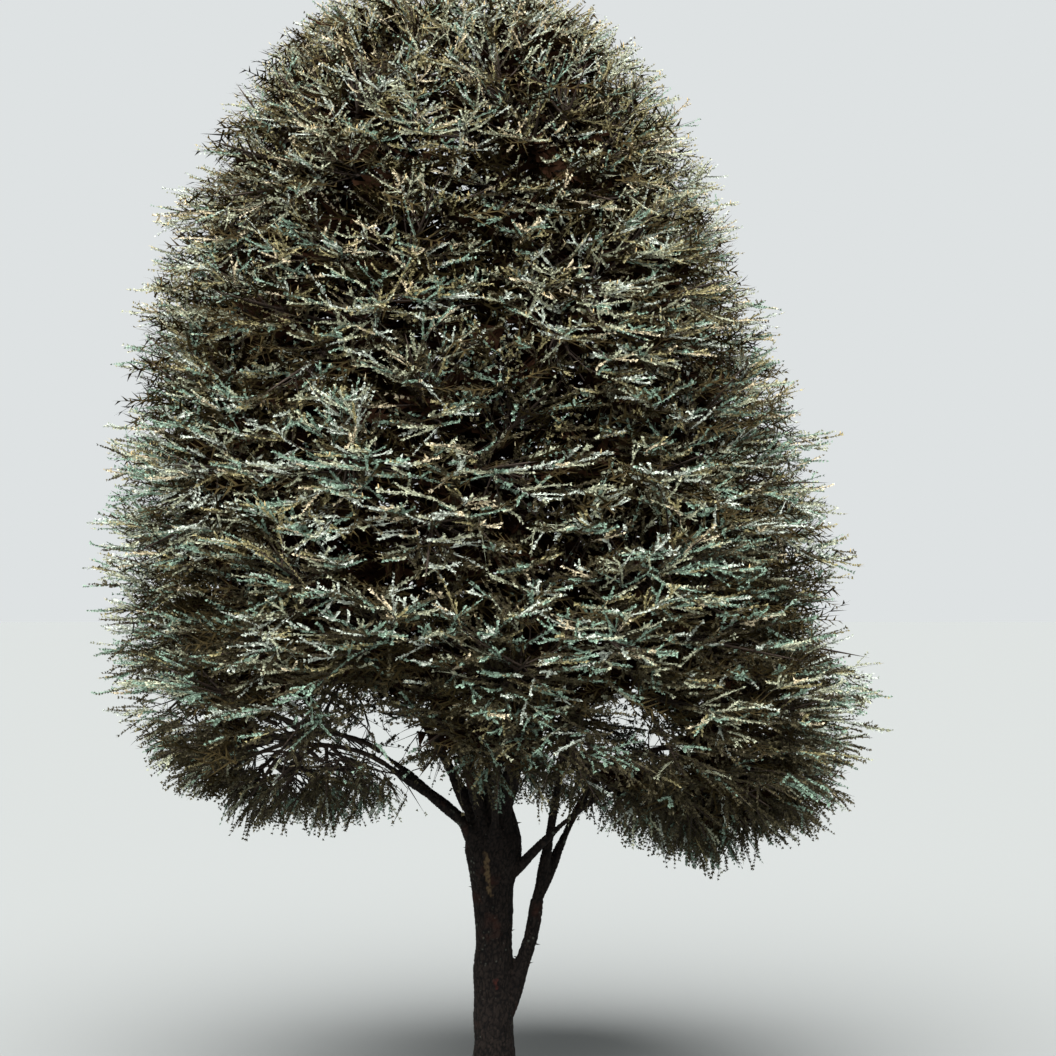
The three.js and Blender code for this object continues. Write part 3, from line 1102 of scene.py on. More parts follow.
    def carve(self, piece: bpy.types.Object) -> None:
        """Sink cracks between plates of bark, and store their depth, which the finish paints as shade,
        and the marks for the finish.

        Args:
            piece: the skin to carve.
        """
        points = self.points_of(piece)
        normals = np.empty(len(points) * 3, np.float32)
        piece.data.vertex_normals.foreach_get("vector", normals)
        normals = normals.reshape(-1, 3).astype(float)
        size = np.array((self.plate_width, self.plate_width, self.plate_height))
        warp = np.stack([drift(points, self.warp_size, seed) for seed in (1, 2, 3)], axis=-1)
        near, second = self.cells((points + warp * self.warp_depth) / size)
        crack = 1.0 - smooth_step((second - near) / self.crack_share)
        near, second = self.cells(points / self.flake_size)
        flake = 1.0 - smooth_step((second - near) / self.flake_share)
        swell = drift(points, self.swell_size, seed=4) * self.swell_depth
        ground = smooth_step(points[:, 2] / self.ground_room)
        sink = swell - self.crack_depth * crack - self.flake_depth * flake
        points += normals * (sink * ground)[:, None]
        points[:, 2] = np.maximum(points[:, 2], 0.0)
        piece.data.vertices.foreach_set("co", points.astype(np.float32).ravel())
        # The depth of the cracks and flakes is stored for the painted shade in them
        stored = {
            self.finish.fissure: np.clip(crack + self.flake_shade * flake, 0.0, 1.0),
            self.finish.tan_mark: self.mark(points, *self.TAN_MARK),
            self.finish.bare_mark: self.mark(points, *self.BARE_MARK),
        }
        for name, values in stored.items():
            attribute = piece.data.attributes.new(name, "FLOAT", "POINT")
            attribute.data.foreach_set("value", values.astype(np.float32))
        piece.data.update()

    def mark(self, points: np.ndarray, top: tuple[float, float], foot: tuple[float, float]) -> np.ndarray:
        """Return how much of a mark on the front of the trunk covers each point.

        Args:
            points: the skin's corners.
            top: the mark's upper end, across and up.
            foot: the mark's lower end, across and up.

        Returns:
            A number from 0 to 1 for each point.
        """
        flat = points[:, [0, 2]]
        line = np.array(foot) - np.array(top)
        along = np.clip((flat - top) @ line / (line @ line), 0.0, 1.0)
        away = np.linalg.norm(flat - top - along[:, None] * line, axis=1)
        ragged = 1.0 + self.mark_raggedness * drift(points, self.mark_ragged_size, seed=5)
        usual, change = self.mark_patches
        patches = smooth_step(usual + change * drift(points, self.mark_cover_size, seed=6))
        cover = between(self.mark_cover, 1.0, patches)
        near = smooth_step((self.mark_half_width * ragged - away) / self.mark_edge)
        return near * cover * (points[:, 1] < self.mark_front)

    def cells(self, points: np.ndarray) -> tuple[np.ndarray, np.ndarray]:
        """Measure how near points lie to seeded middles, one in each unit cube.

        Args:
            points: the places, in widths of a cube.

        Returns:
            The distances to the nearest middle and to the second nearest.
        """
        base = np.floor(points)
        nearest = np.full(len(points), np.inf)
        second = nearest
        for step in itertools.product((-1, 0, 1), repeat=3):
            cell = base + step
            mixed = np.stack([cell @ np.array(mix) for mix in self.CELL_MIXES], axis=-1)
            wave = np.sin(mixed) * CHANCE_SCALE
            middle = cell + (wave - np.floor(wave))
            away = np.linalg.norm(points - middle, axis=1)
            second = np.minimum(second, np.maximum(nearest, away))
            nearest = np.minimum(nearest, away)
        return nearest, second


# Foliage


@dataclass
class Plates:
    """Flat sprays of shoots whose tips make the crown's surface, each on a branch of its own."""

    plan: TreePlan
    seed: int = 11
    row_step: float = 0.132
    column_step: float = 0.55
    column_stray: float = 0.28
    fewest_columns: int = 3
    first_radius: float = 1.9
    profile_points: int = 4000
    profile_ends: tuple[float, float] = (0.004, 0.02)
    row_ends: tuple[float, float] = (0.01, 0.03)
    outer_share: tuple[float, float] = (0.88, 0.985)
    long_part: float = 0.08
    long_share: float = 0.05
    inner_share: tuple[float, float] = (0.78, 0.87)
    inner_part: float = 0.5
    stray_height: float = 0.05
    stray_azimuth: float = 46.0
    most_azimuth: float = 74.0
    stray_rise: float = 5.0
    stray_roll: float = 9.0
    shelf_step: float = 0.27
    shelf_gather: float = 0.6
    shelf_drift: float = 0.3
    shelf_size: float = 1.3
    shelf_flatness: float = 0.35
    bare_size: float = 0.8
    bare_level: float = 1.9
    swell_size: float = 1.3
    swell: float = 0.03
    bump_size: float = 0.45
    bump: float = 0.02
    lobe_size: float = 1.1
    lobe_flatness: float = 1.7
    lobe_depth: float = 0.085
    lobe_edge: float = 0.1
    lobe_slope: float = 1.1
    terrace_step: float = 0.66
    terrace_depth: float = 0.26
    terrace_drift: float = 0.55
    terrace_size: float = 1.5
    terrace_flatness: float = 0.3
    gap_noise: float = 0.6
    gap_noise_size: float = 0.13
    foot_room: tuple[float, float] = (0.12, 0.34)
    foot_spread: float = 0.42
    foot_spread_size: float = 0.05
    foot_slant: float = 0.8
    axis_bend: float = 0.55

    # Hollows of the crown's surface, each with its radius
    HOLLOWS = (
        ((1.56, -3.4, 5.5), 0.42),
        ((-0.62, -3.2, 3.3), 0.45),
        ((-0.95, 3.0, 2.9), 0.5),
        ((1.46, -3.3, 3.8), 0.36),
    )
    # Places in the trunk's plane, across and up, through which the sky shows to the viewer,
    # each with its radius
    SKY_GAPS = (
        (-0.66, 2.84, 0.25),
        (-0.86, 3.00, 0.17),
        (-0.47, 2.90, 0.15),
        (-1.12, 3.22, 0.16),
        (-1.28, 3.38, 0.13),
        (-0.90, 3.47, 0.10),
        (-1.22, 3.58, 0.10),
        (-2.08, 3.60, 0.11),
        (-2.19, 3.38, 0.12),
        (-1.62, 3.26, 0.15),
        (-1.95, 3.02, 0.13),
        (-1.62, 3.78, 0.06),
        (-2.35, 3.20, 0.11),
        (-3.05, 3.60, 0.10),
        (-3.30, 3.82, 0.12),
        (1.30, 3.66, 0.07),
        (1.62, 3.42, 0.10),
        (0.86, 3.32, 0.06),
        (0.64, 3.26, 0.05),
    )
    # Fronds that hang in front of the trunk below the crown's arched base
    FRONT_TIPS = (
        (0.10, -3.3, 3.36),
        (-0.16, -3.2, 3.24),
        (0.27, -3.4, 3.44),
        (0.44, -3.3, 3.15),
        (0.61, -3.2, 3.30),
        (0.78, -3.3, 3.08),
        (1.04, -3.2, 3.02),
        (0.08, -3.1, 2.96),
        (0.92, -3.4, 3.28),
    )
    # Steps of (height, value), between which the value changes evenly. Those of the part of the
    # tips that is kept low down count from the crown's base
    BASE_PARTS = ((0.1, 0.5), (0.6, 1.0))
    COLUMN_SHARES = ((6.5, 1.0), (9.0, 0.9))
    SLIM_SHARES = ((5.2, 1.0), (6.6, 0.965), (8.4, 0.965), (9.6, 1.0))
    TERRACE_SHARES = ((5.0, 0.2), (8.0, 1.0), (9.7, 1.0), (10.5, 0.1))
    RISES = (
        (2.4, -46.0),
        (2.8, -30.0),
        (3.5, -7.0),
        (4.8, 2.0),
        (6.5, 3.0),
        (8.0, 4.0),
        (9.2, 6.0),
        (10.2, 15.0),
        (10.8, 42.0),
        (11.1, 70.0),
    )

    def __post_init__(self) -> None:
        """Lay out the tips, and lead a branch to each from the nearest twig of its mass."""
        rng = np.random.default_rng(self.seed)
        outer = self.tips(rng, self.outer_share, 1.0)
        inner = self.tips(rng, self.inner_share, self.inner_part)
        self.tip = np.concatenate((outer, np.array(self.FRONT_TIPS), inner))
        self.tip = self.tip[~self.in_gap(self.tip)]
        count = len(self.tip)
        offset = self.tip - self.plan.outline.centre(self.tip[:, 2])
        azimuth = np.degrees(np.arctan2(offset[:, 1], offset[:, 0]))
        aside = rng.normal(0.0, self.stray_azimuth, count)
        azimuth = azimuth + np.clip(aside, -self.most_azimuth, self.most_azimuth)
        level = self.plan.outline.level_of(self.tip)
        rise = graded(level, self.RISES) + rng.normal(0.0, self.stray_rise, count)
        self.course = heading(azimuth, rise)
        self.mass = self.plan.nearest_mass(self.tip)
        self.lead_branches()
        self.bend = self.tip - self.course * self.axis_bend * self.reach[:, None]
        self.roll = rng.normal(0.0, self.stray_roll, count)

    def tips(self, rng: np.random.Generator, share: tuple[float, float], part: float) -> np.ndarray:
        """Spread tips evenly over the crown in level rows.

        Args:
            rng: the source of chance.
            share: the least and greatest share of the crown's radius.
            part: the part of the tips to keep.

        Returns:
            The tips that aren't in a bare place.
        """
        outline = self.plan.outline
        low, high = self.profile_ends
        z = np.linspace(outline.base + low, outline.top - high, self.profile_points)
        radius = outline.radius_at(z)
        arc = np.concatenate(((0.0,), np.cumsum(np.hypot(np.diff(z), np.diff(radius)))))
        first = arc[np.argmax(radius > self.first_radius)]
        low, high = outline.base + self.row_ends[0], outline.top - self.row_ends[1]
        rows = []
        for number, place in enumerate(np.arange(first, arc[-1], self.row_step)):
            height = float(np.interp(place, arc, z))
            around = 2.0 * math.pi * float(np.interp(place, arc, radius))
            step = self.column_step * graded(height, self.COLUMN_SHARES)
            count = max(int(round(around / step)), self.fewest_columns)
            aside = rng.uniform(-self.column_stray, self.column_stray, count)
            turn = (np.arange(count) + 0.5 * (number % 2) + aside) * 360.0 / count
            level = height + rng.uniform(-self.stray_height, self.stray_height, count)
            level = np.clip(level, low, high)
            out = rng.uniform(*share, count)
            out = out + self.long_share * (rng.uniform(size=count) < self.long_part)
            row = self.on_surface(level, turn, out)
            kept = rng.uniform(size=count) < graded(level - outline.base, self.BASE_PARTS)
            rows.append((row + UP * outline.lift(row)[:, None])[kept])
        points = self.on_shelves(np.concatenate(rows))
        points = points[rng.uniform(size=len(points)) < part]
        bare = drift(points, self.bare_size, seed=21) > self.bare_level
        for middle, radius in self.HOLLOWS:
            bare |= np.linalg.norm(points - np.array(middle), axis=1) < radius
        return points[~bare]

    def on_surface(self, level: np.ndarray, turn: np.ndarray, out: np.ndarray) -> np.ndarray:
        """Set points on the crown with its swells, lobes and terraces.

        Args:
            level: the points' levels.
            turn: their azimuths in degrees.
            out: their shares of the crown's radius.

        Returns:
            The points, before the tilt of the crown's base lifts them.
        """
        outline = self.plan.outline
        # The upper crown is a little slimmer than its solids
        out = outline.radius_at(level) * out * graded(level, self.SLIM_SHARES)
        row = outline.centre(level) + heading(turn) * out[:, None]
        swelling = 1.0 + self.swell * drift(row, self.swell_size, seed=22)
        swelling += self.bump * drift(row, self.bump_size, seed=23)
        # The surface falls back between its lobes
        lobe = drift(squashed(row, self.lobe_flatness), self.lobe_size, seed=25)
        swelling -= self.lobe_depth * smooth_step((self.lobe_edge - lobe) / self.lobe_slope)
        # It leans in up each terrace, and the terraces wander up and down round the crown
        wander = drift(squashed(row, self.terrace_flatness), self.terrace_size, seed=42)
        tier = row[:, 2] / self.terrace_step + self.terrace_drift * wander
        step_in = self.terrace_depth * (tier - np.floor(tier)) * graded(level, self.TERRACE_SHARES)
        return outline.centre(level) + heading(turn) * (out * swelling - step_in)[:, None]

    def on_shelves(self, points: np.ndarray) -> np.ndarray:
        """Gather points in level shelves that wander up and down round the crown.

        Args:
            points: the places to gather.

        Returns:
            The moved points.
        """
        wander = self.shelf_drift * drift(squashed(points, self.shelf_flatness), self.shelf_size, seed=41)
        phase = points[:, 2] / self.shelf_step + wander / self.shelf_step
        offset = (phase - np.floor(phase) - 0.5) * self.shelf_gather * self.shelf_step
        return points - UP * offset[:, None]

    def in_gap(self, points: np.ndarray, margin: float = 0.0) -> np.ndarray:
        """Return which points lie in the way of the sky that shows through the crown.

        Args:
            points: the points to test.
            margin: how far round each gap to keep clear, in metres.

        Returns:
            True for each point in or near a gap.
        """
        viewer = np.array(VIEWER)
        offset = points - viewer
        seen = viewer[[0, 2]] - offset[:, [0, 2]] * viewer[1] / offset[:, 1:2]
        ragged = 1.0 + self.gap_noise * drift(points, self.gap_noise_size, seed=26)
        hidden = np.zeros(len(points), bool)
        for across, up, radius in self.SKY_GAPS:
            hidden |= np.hypot(seen[:, 0] - across, seen[:, 1] - up) < radius * ragged + margin
        return hidden

    def lead_branches(self) -> None:
        """Find where each tip's branch leaves the nearest twig of its mass."""
        twigs = self.plan.twigs
        most = max(len(row) for row in twigs)
        # The top mass has fewer twigs, so its last one fills the row
        rows = [row + row[-1:] * (most - len(row)) for row in twigs]
        start, course, room = (
            np.array([[twig[part] for twig in row] for row in rows])[self.mass] for part in range(3)
        )
        offset = self.tip[:, None] - start
        along = dot(offset, course)[..., 0]
        aside = np.linalg.norm(offset - along[..., None] * course, axis=-1)
        # The farthest foot differs from tip to tip, so that branches leave their twig one by one
        spread = self.foot_spread * drift(self.tip, self.foot_spread_size, seed=24)[:, None]
        nearest, farthest = self.foot_room
        farthest = np.clip(farthest + spread, farthest, farthest + self.foot_spread)
        place = np.clip(along - self.foot_slant * aside, nearest * room, farthest * room)
        foot = start + course * place[..., None]
        reach = np.linalg.norm(self.tip[:, None] - foot, axis=-1)
        best = reach.argmin(axis=1)
        order = np.arange(len(self.tip))
        self.foot = foot[order, best]
        self.reach = reach[order, best]


@dataclass(frozen=True)
class Tone:
    """One tone of needles and where in the crown it is common.

    Its shares are those at the tone levels. Patch and shade raise or lower them in the patches
    of the crown and in its darker places, where shade deals out darker tones as painted shade.
    """

    finish: NeedleFinish
    shares: tuple[float, float, float, float]
    patch: float
    shade: float


@dataclass
class Foliage:
    """All shoots of the crown, with their rosettes of needles, bare tips and small cones."""

    plan: TreePlan
    plates: Plates
    room: tuple[np.ndarray, np.ndarray]
    seed: int = 23
    # How far out shoots may reach, as a share of the crown's radius
    crown_reach: float = 1.06
    spray_length: tuple[float, float] = (0.55, 0.8)
    spray_part: float = 0.86
    side_step: float = 0.079
    side_start: float = 0.05
    side_stray: float = 0.02
    side_count: int = 9
    side_angles: tuple[float, float] = (32.0, 64.0)
    side_base: float = 0.13
    side_growth: float = 0.27
    side_growth_power: float = 0.8
    side_root_loss: float = 0.3
    side_lengths: tuple[float, float] = (0.72, 1.2)
    side_sweep: float = 0.35
    stray_angle: float = 6.0
    stray_lift: float = 0.07
    shoot_step: float = 0.12
    shoot_start: float = 0.05
    shoot_stray: float = 0.015
    shoot_count: int = 2
    shoot_part: float = 0.5
    shoot_angle: float = 38.0
    shoot_stray_angle: float = 9.0
    shoot_reach: tuple[float, float] = (0.05, 0.15)
    shoot_growth: float = 0.35
    shoot_lengths: tuple[float, float] = (0.75, 1.2)
    shoot_lift: float = 0.05
    shoot_sweep: float = 0.12
    rising_every: int = 4
    rising_course: tuple[float, float] = (0.85, 0.5)
    end_room: float = 0.03
    rosette_step: float = 0.027
    rosette_stray: tuple[float, float] = (0.3, 0.9)
    rosette_fans: int = 2
    fan_stray: float = 0.3
    fan_foot: float = 0.001
    blade_width: float = 0.008
    blade_depth: float = 0.78
    blade_bend: float = 0.55
    blade_roll: float = 0.9
    needle_length: tuple[float, float] = (0.021, 0.028)
    needle_width: tuple[float, float] = (0.021, 0.028)
    needle_angle: float = 44.0
    needle_stray_angle: float = 10.0
    needle_twist: float = 1.5
    tone_patch: float = 0.75
    end_depth: float = 0.5
    stem_bend: float = 0.4
    stem_radii: tuple[float, float] = (0.027, 0.024)
    twig_radii: tuple[float, float] = (0.024, 0.009)
    twig_fill: float = 0.95
    link_radii: tuple[float, float] = (0.025, 0.022)
    branch_radius: float = 0.006
    branch_growth: float = 0.007
    branch_radii: tuple[float, float] = (0.008, 0.018)
    branch_tip_radius: float = 0.0035
    side_taper: float = 0.6
    stub_radii: tuple[float, float] = (0.010, 0.006)
    stub_heights: tuple[float, float] = (1.2, 2.9)
    stub_length: tuple[float, float] = (0.01, 0.045)
    stub_seed: int = 61
    stub_depth: float = 0.02
    stub_base: float = 0.03
    stub_least_points: int = 4
    stub_rise: tuple[float, float] = (-10.0, 35.0)
    bough_stubs: int = 2
    pale_length: tuple[float, float] = (0.035, 0.07)
    pale_foot: float = 0.02
    pale_lift: float = 0.15
    pale_radius: float = 0.0045
    cone_length: tuple[float, float] = (0.036, 0.05)
    cone_radius: tuple[float, float] = (0.006, 0.008)
    cone_taper: float = 0.8
    cone_places: tuple[float, float] = (0.3, 0.95)
    cone_tilt: float = 0.12
    piece_limit: int = 195000
    twig_finish: TwigFinish = TwigFinish("grey_brown_twig_bark", "#1a130d", "#3a2e25")
    pale_finish: TwigFinish = TwigFinish("pale_young_twigs", "#8f8264", "#b5a987")
    cone_finish: TwigFinish = TwigFinish("dry_tan_cones", "#8a7750", "#b09c70", patch=0.006)

    # Painted shade: the deep green tone is commonest low down, under the crown
    TONE_LEVELS = (2.5, 3.3, 5.6, 9.0)
    TONES = (
        Tone(
            NeedleFinish("silver_blue_needles", "#a7afa3", "#b7bdb1"),
            shares=(0.05, 0.08, 0.25, 0.24),
            patch=0.5,
            shade=-1.4,
        ),
        Tone(
            NeedleFinish("blue_green_needles", "#6f8674", "#819585"),
            shares=(0.22, 0.31, 0.29, 0.14),
            patch=-0.5,
            shade=-0.6,
        ),
        Tone(
            NeedleFinish("grey_green_needles", "#959880", "#a5a78f"),
            shares=(0.06, 0.12, 0.27, 0.44),
            patch=0.5,
            shade=-0.6,
        ),
        Tone(
            NeedleFinish("olive_needles", "#7f7854", "#918863"),
            shares=(0.03, 0.05, 0.08, 0.15),
            patch=-0.4,
            shade=0.2,
        ),
        # Deep green, partly the needles' own tone and partly painted shade inside the crown and low down
        Tone(
            NeedleFinish("deep_green_needles", "#373222", "#46402b"),
            shares=(0.80, 0.54, 0.12, 0.03),
            patch=0.0,
            shade=1.8,
        ),
        Tone(
            NeedleFinish("straw_needles", "#b8ab8e", "#c8bca0"),
            shares=(0.0, 0.01, 0.05, 0.19),
            patch=0.2,
            shade=-1.6,
        ),
    )
    STUB_COUNTS = {"trunk": 34, "side_stem": 7}
    # Steps of (height, value), between which the value changes evenly
    SPRAY_SHARES = ((2.3, 1.2), (3.4, 1.0), (9.0, 0.9), (10.6, 0.6))
    BENDS = ((2.3, -0.6), (3.0, -0.38), (3.7, -0.02), (4.6, 0.06), (9.5, 0.03))
    SIDE_RADII = ((3.0, 0.0085), (3.8, 0.0036))
    PALE_PARTS = ((3.0, 0.05), (6.0, 0.15), (10.0, 0.32))
    CONE_PARTS = ((5.0, 0.0), (8.0, 0.05), (10.5, 0.12))
    NEEDLE_SIZES = ((2.7, 1.1), (3.7, 1.0), (6.5, 1.0), (9.0, 0.82))
    # Steps of (share of the crown's radius, value), such as how much painted shade a place gets, or which
    # part of the rosettes is kept there and how large they are
    INNER_SHADE = ((0.77, 1.0), (0.90, 0.0))
    TIP_SHADE = ((0.95, 0.0), (1.03, 0.6))
    ROSETTE_PARTS = ((0.70, 0.3), (0.88, 1.0))
    ROSETTE_GROWTH = ((0.70, 1.45), (0.88, 1.0))

    def build(self) -> None:
        """Grow the shoots and build every piece that hangs on them."""
        rng = np.random.default_rng(self.seed)
        axes = self.grow_axes(rng)
        sides = self.grow_sides(rng, axes)
        shoots = self.grow_shoots(rng, sides)
        green = axes.join(sides).join(shoots)
        fine = sides.join(shoots)
        self.build_wood(sides)
        self.build_tips(rng, green)
        self.build_needles(rng, green, fine)
        self.build_cones(rng, fine)

    def grow_axes(self, rng: np.random.Generator) -> Shoots:
        """Grow the leafy last stretch of each plate's branch.

        Args:
            rng: the source of chance.

        Returns:
            The stretches, one for each plate.
        """
        plates = self.plates
        length = rng.uniform(*self.spray_length, len(plates.tip))
        length = length * graded(plates.tip[:, 2], self.SPRAY_SHARES)
        # The curve's speed near its tip is twice the distance from its bend to its tip
        speed = 2.0 * plates.axis_bend * plates.reach + 1e-6
        start = 1.0 - np.clip(length / speed, 0.0, self.spray_part)[:, None]
        first = quadratic(plates.foot, plates.bend, plates.tip, start)
        bend = plates.bend * (1.0 - start) + plates.tip * start
        side = unit(np.cross(plates.course, UP))
        upward = np.cross(side, plates.course)
        roll = np.radians(plates.roll)[:, None]
        flat = side * np.cos(roll) + upward * np.sin(roll)
        tone = self.tones_at(rng, (first + plates.tip) / 2.0)
        return Shoots(*curve_parts(first, bend, plates.tip), flat, tone)

    def bend_at(self, points: np.ndarray) -> np.ndarray:
        """Return how far shoots droop or lift, as a share of their length, at their heights."""
        return graded(points[:, 2], self.BENDS)

    def tones_at(self, rng: np.random.Generator, points: np.ndarray) -> np.ndarray:
        """Deal out tones by height, depth and patch, painting shade with darker tones.

        Args:
            rng: the source of chance.
            points: where the sprays are.

        Returns:
            The number of a tone for each point.
        """
        patch = drift(points, self.tone_patch, seed=31)
        level = self.plan.outline.level_of(points)
        depth = self.depth_share(points)
        # Painted shade: darker tones are commoner inside the crown, and on the thin tips that stand out
        # of it
        dark = graded(depth, self.INNER_SHADE) + graded(depth, self.TIP_SHADE)
        weights = []
        for tone in self.TONES:
            weight = np.interp(level, self.TONE_LEVELS, tone.shares)
            weights.append(weight * np.exp(tone.patch * patch) * np.exp(tone.shade * dark))
        total = np.cumsum(weights, axis=0)
        draw = rng.uniform(size=len(points)) * total[-1]
        return (total < draw).sum(axis=0)

    def grow_sides(self, rng: np.random.Generator, axes: Shoots) -> Shoots:
        """Grow side branches left and right of each axis, in the plane of its plate.

        Args:
            rng: the source of chance.
            axes: the plates' leafy axes.

        Returns:
            The side branches.
        """
        grid = (len(axes.root), self.side_count)
        back = np.arange(self.side_count)[None] * self.side_step + self.side_start
        back = back + rng.uniform(-self.side_stray, self.side_stray, grid)
        share = 1.0 - back / axes.length[:, None]
        owner, slot = np.nonzero(share > self.end_room)
        share = share[owner, slot]
        parent = axes.take(owner)
        root, course = parent.place(share), parent.course(share)
        from_tip = 1.0 - share
        angle = np.interp(from_tip, (0.0, 1.0), self.side_angles)
        angle = np.radians(angle + rng.normal(0.0, self.stray_angle, len(owner)))[:, None]
        hand, flat = self.hand_and_flat(parent, course, slot + owner)
        direction = course * np.cos(angle) + flat * hand * np.sin(angle)
        reach = self.side_growth * from_tip**self.side_growth_power
        reach = reach * (1.0 - self.side_root_loss * from_tip**3)
        reach = (self.side_base + reach) * rng.uniform(*self.side_lengths, len(owner))
        lift = self.bend_at(root) + rng.normal(0.0, self.stray_lift, len(owner))
        turn = (UP * lift[:, None] + course * self.side_sweep) * reach[:, None]
        tone = self.tones_at(rng, root)
        pitch = np.radians(rng.normal(0.0, self.stray_angle, len(owner)))[:, None]
        run = unit(direction + UP * np.tan(pitch)) * reach[:, None]
        across = unit(np.cross(np.cross(course, flat), direction))
        return self.trimmed(Shoots(root, run, turn, across, tone))

    def grow_shoots(self, rng: np.random.Generator, sides: Shoots) -> Shoots:
        """Grow short shoots along the side branches, about one in four rising from the plate.

        Args:
            rng: the source of chance.
            sides: the side branches.

        Returns:
            The short shoots.
        """
        grid = (len(sides.root), self.shoot_count)
        length = sides.length
        place = self.shoot_start + np.arange(self.shoot_count)[None] * self.shoot_step
        place = place + rng.uniform(-self.shoot_stray, self.shoot_stray, grid)
        chosen = rng.uniform(size=grid) < self.shoot_part
        owner, slot = np.nonzero((place < length[:, None] - self.end_room) & chosen)
        share = place[owner, slot] / length[owner]
        parent = sides.take(owner)
        root, course = parent.place(share), parent.course(share)
        angle = self.shoot_angle + rng.normal(0.0, self.shoot_stray_angle, len(owner))
        angle = np.radians(angle)[:, None]
        hand, flat = self.hand_and_flat(parent, course, slot + owner)
        rising = ((slot + owner) % self.rising_every == 0)[:, None]
        level, up = self.rising_course
        aside = np.where(rising, unit(UP * up + flat * hand * level), flat * hand)
        direction = unit(course * np.cos(angle) + aside * np.sin(angle))
        least, most = self.shoot_reach
        reach = np.clip(least + self.shoot_growth * length[owner] * (1.0 - share), least, most)
        reach = reach * rng.uniform(*self.shoot_lengths, len(owner))
        lift = self.shoot_lift + self.bend_at(root)
        turn = (UP * lift[:, None] + course * self.shoot_sweep) * reach[:, None]
        across = unit(np.cross(np.cross(course, flat), direction))
        return self.trimmed(Shoots(root, direction * reach[:, None], turn, across, parent.tone))

    @staticmethod
    def hand_and_flat(
        parent: Shoots, course: np.ndarray, number: np.ndarray
    ) -> tuple[np.ndarray, np.ndarray]:
        """Return the sides that shoots take by turns, and their parents' planes across their course.

        Args:
            parent: the shoot that bears each.
            course: the parents' directions there.
            number: the shoots' numbers.

        Returns:
            Plus or minus one for each shoot, and a unit vector in its parent's plane.
        """
        hand = np.where(number % 2, 1.0, -1.0)[:, None]
        return hand, unit(parent.flat - course * dot(parent.flat, course))

    def trimmed(self, shoots: Shoots) -> Shoots:
        """Return the shoots whose tips stay in the crown, with the others left out."""
        return shoots.take(np.nonzero(self.has_room(shoots.at(1.0)))[0])

    def has_room(self, points: np.ndarray) -> np.ndarray:
        """Test which points lie in the crown, or stand out of it as little as the model's box allows.

        Args:
            points: the places to test.

        Returns:
            True or false for each point.
        """
        low, high = self.room
        in_box = (points > low).all(axis=1) & (points < high).all(axis=1)
        return in_box & self.plan.outline.holds(points, self.crown_reach) & ~self.plates.in_gap(points)

    def build_wood(self, sides: Shoots) -> None:
        """Build the masses' stems and twigs, the plates' branches, the side branches and the stubs.

        Args:
            sides: the side branches.
        """
        plan, plates = self.plan, self.plates
        tips = np.array([mass.tip for mass in plan.masses])
        arrival = np.array([mass.arrival for mass in plan.masses])
        reach = np.linalg.norm(plan.centres - tips, axis=1, keepdims=True)
        bend = tips + arrival * self.stem_bend * reach
        stems = Shoots.bare(*curve_parts(tips, bend, plan.centres))
        lines = [twig for row in plan.twigs for twig in row]
        start, course, room = (np.array([twig[part] for twig in lines]) for part in range(3))
        twigs = Shoots.bare(start, course * room[:, None] * self.twig_fill)
        # Links join the foot of each twig to the middle of its mass, where the stem ends
        centres = np.repeat(plan.centres, [len(row) for row in plan.twigs], axis=0)
        links = Shoots.bare(centres, start - centres)
        branches = Shoots.bare(*curve_parts(plates.foot, plates.bend, plates.tip))
        thick = np.clip(self.branch_radius + self.branch_growth * plates.reach, *self.branch_radii)
        side_thick = graded(sides.root[:, 2], self.SIDE_RADII)
        parts = (
            tapers(stems, self.stem_radii, rings=5, sides=6),
            tapers(twigs, self.twig_radii, rings=5, sides=5),
            tapers(links, self.link_radii, rings=2, sides=5),
            tapers(branches, (thick, self.branch_tip_radius), rings=4, sides=3),
            tapers(sides, (side_thick, side_thick * self.side_taper), rings=1, sides=3),
            tapers(self.grow_stubs(), self.stub_radii, rings=2, sides=5),
        )
        build_tubes("twigs", parts, self.twig_finish)

    def grow_stubs(self) -> Shoots:
        """Grow the short stubs that broken twigs left on the trunk and the low limbs.

        Returns:
            The stubs.
        """
        rng = np.random.default_rng(self.stub_seed)
        low, high = self.stub_heights
        roots, runs = [], []
        for limb in self.plan.limbs:
            kept = (limb.points[:, 2] > low) & (limb.points[:, 2] < high)
            if kept.sum() < self.stub_least_points:
                continue
            count = self.STUB_COUNTS.get(limb.name, self.bough_stubs)
            place = rng.uniform(0.0, 1.0, count) * (kept.sum() - 1)
            order = np.arange(kept.sum())
            points = limb.points[kept].T
            middle = np.stack([np.interp(place, order, values) for values in points], axis=-1)
            radius = np.interp(place, order, limb.radii[kept])[:, None]
            aside = heading(rng.uniform(0.0, 360.0, count), rng.uniform(*self.stub_rise, count))
            roots.append(middle + aside * (radius - self.stub_depth))
            runs.append(aside * (self.stub_base + rng.uniform(*self.stub_length, count)[:, None]))
        return Shoots.bare(np.concatenate(roots), np.concatenate(runs))

    def build_tips(self, rng: np.random.Generator, shoots: Shoots) -> None:
        """Build the pale bare ends of some shoots.

        Args:
            rng: the source of chance.
            shoots: every leafy shoot.
        """
        share = graded(shoots.root[:, 2], self.PALE_PARTS)
        ends = shoots.take(np.nonzero(rng.uniform(size=len(shoots.root)) < share)[0])
        count = len(ends.root)
        course = unit(ends.course(np.ones(count)) + UP * self.pale_lift)
        run = course * rng.uniform(*self.pale_length, count)[:, None]
        root = ends.at(1.0) - course * self.pale_foot
        kept = self.has_room(root + run)
        spindles = Shoots.bare(root[kept], run[kept])
        parts = (tapers(spindles, (self.pale_radius, self.pale_radius), rings=1, sides=3),)
        build_tubes("pale_twig_tips", parts, self.pale_finish)

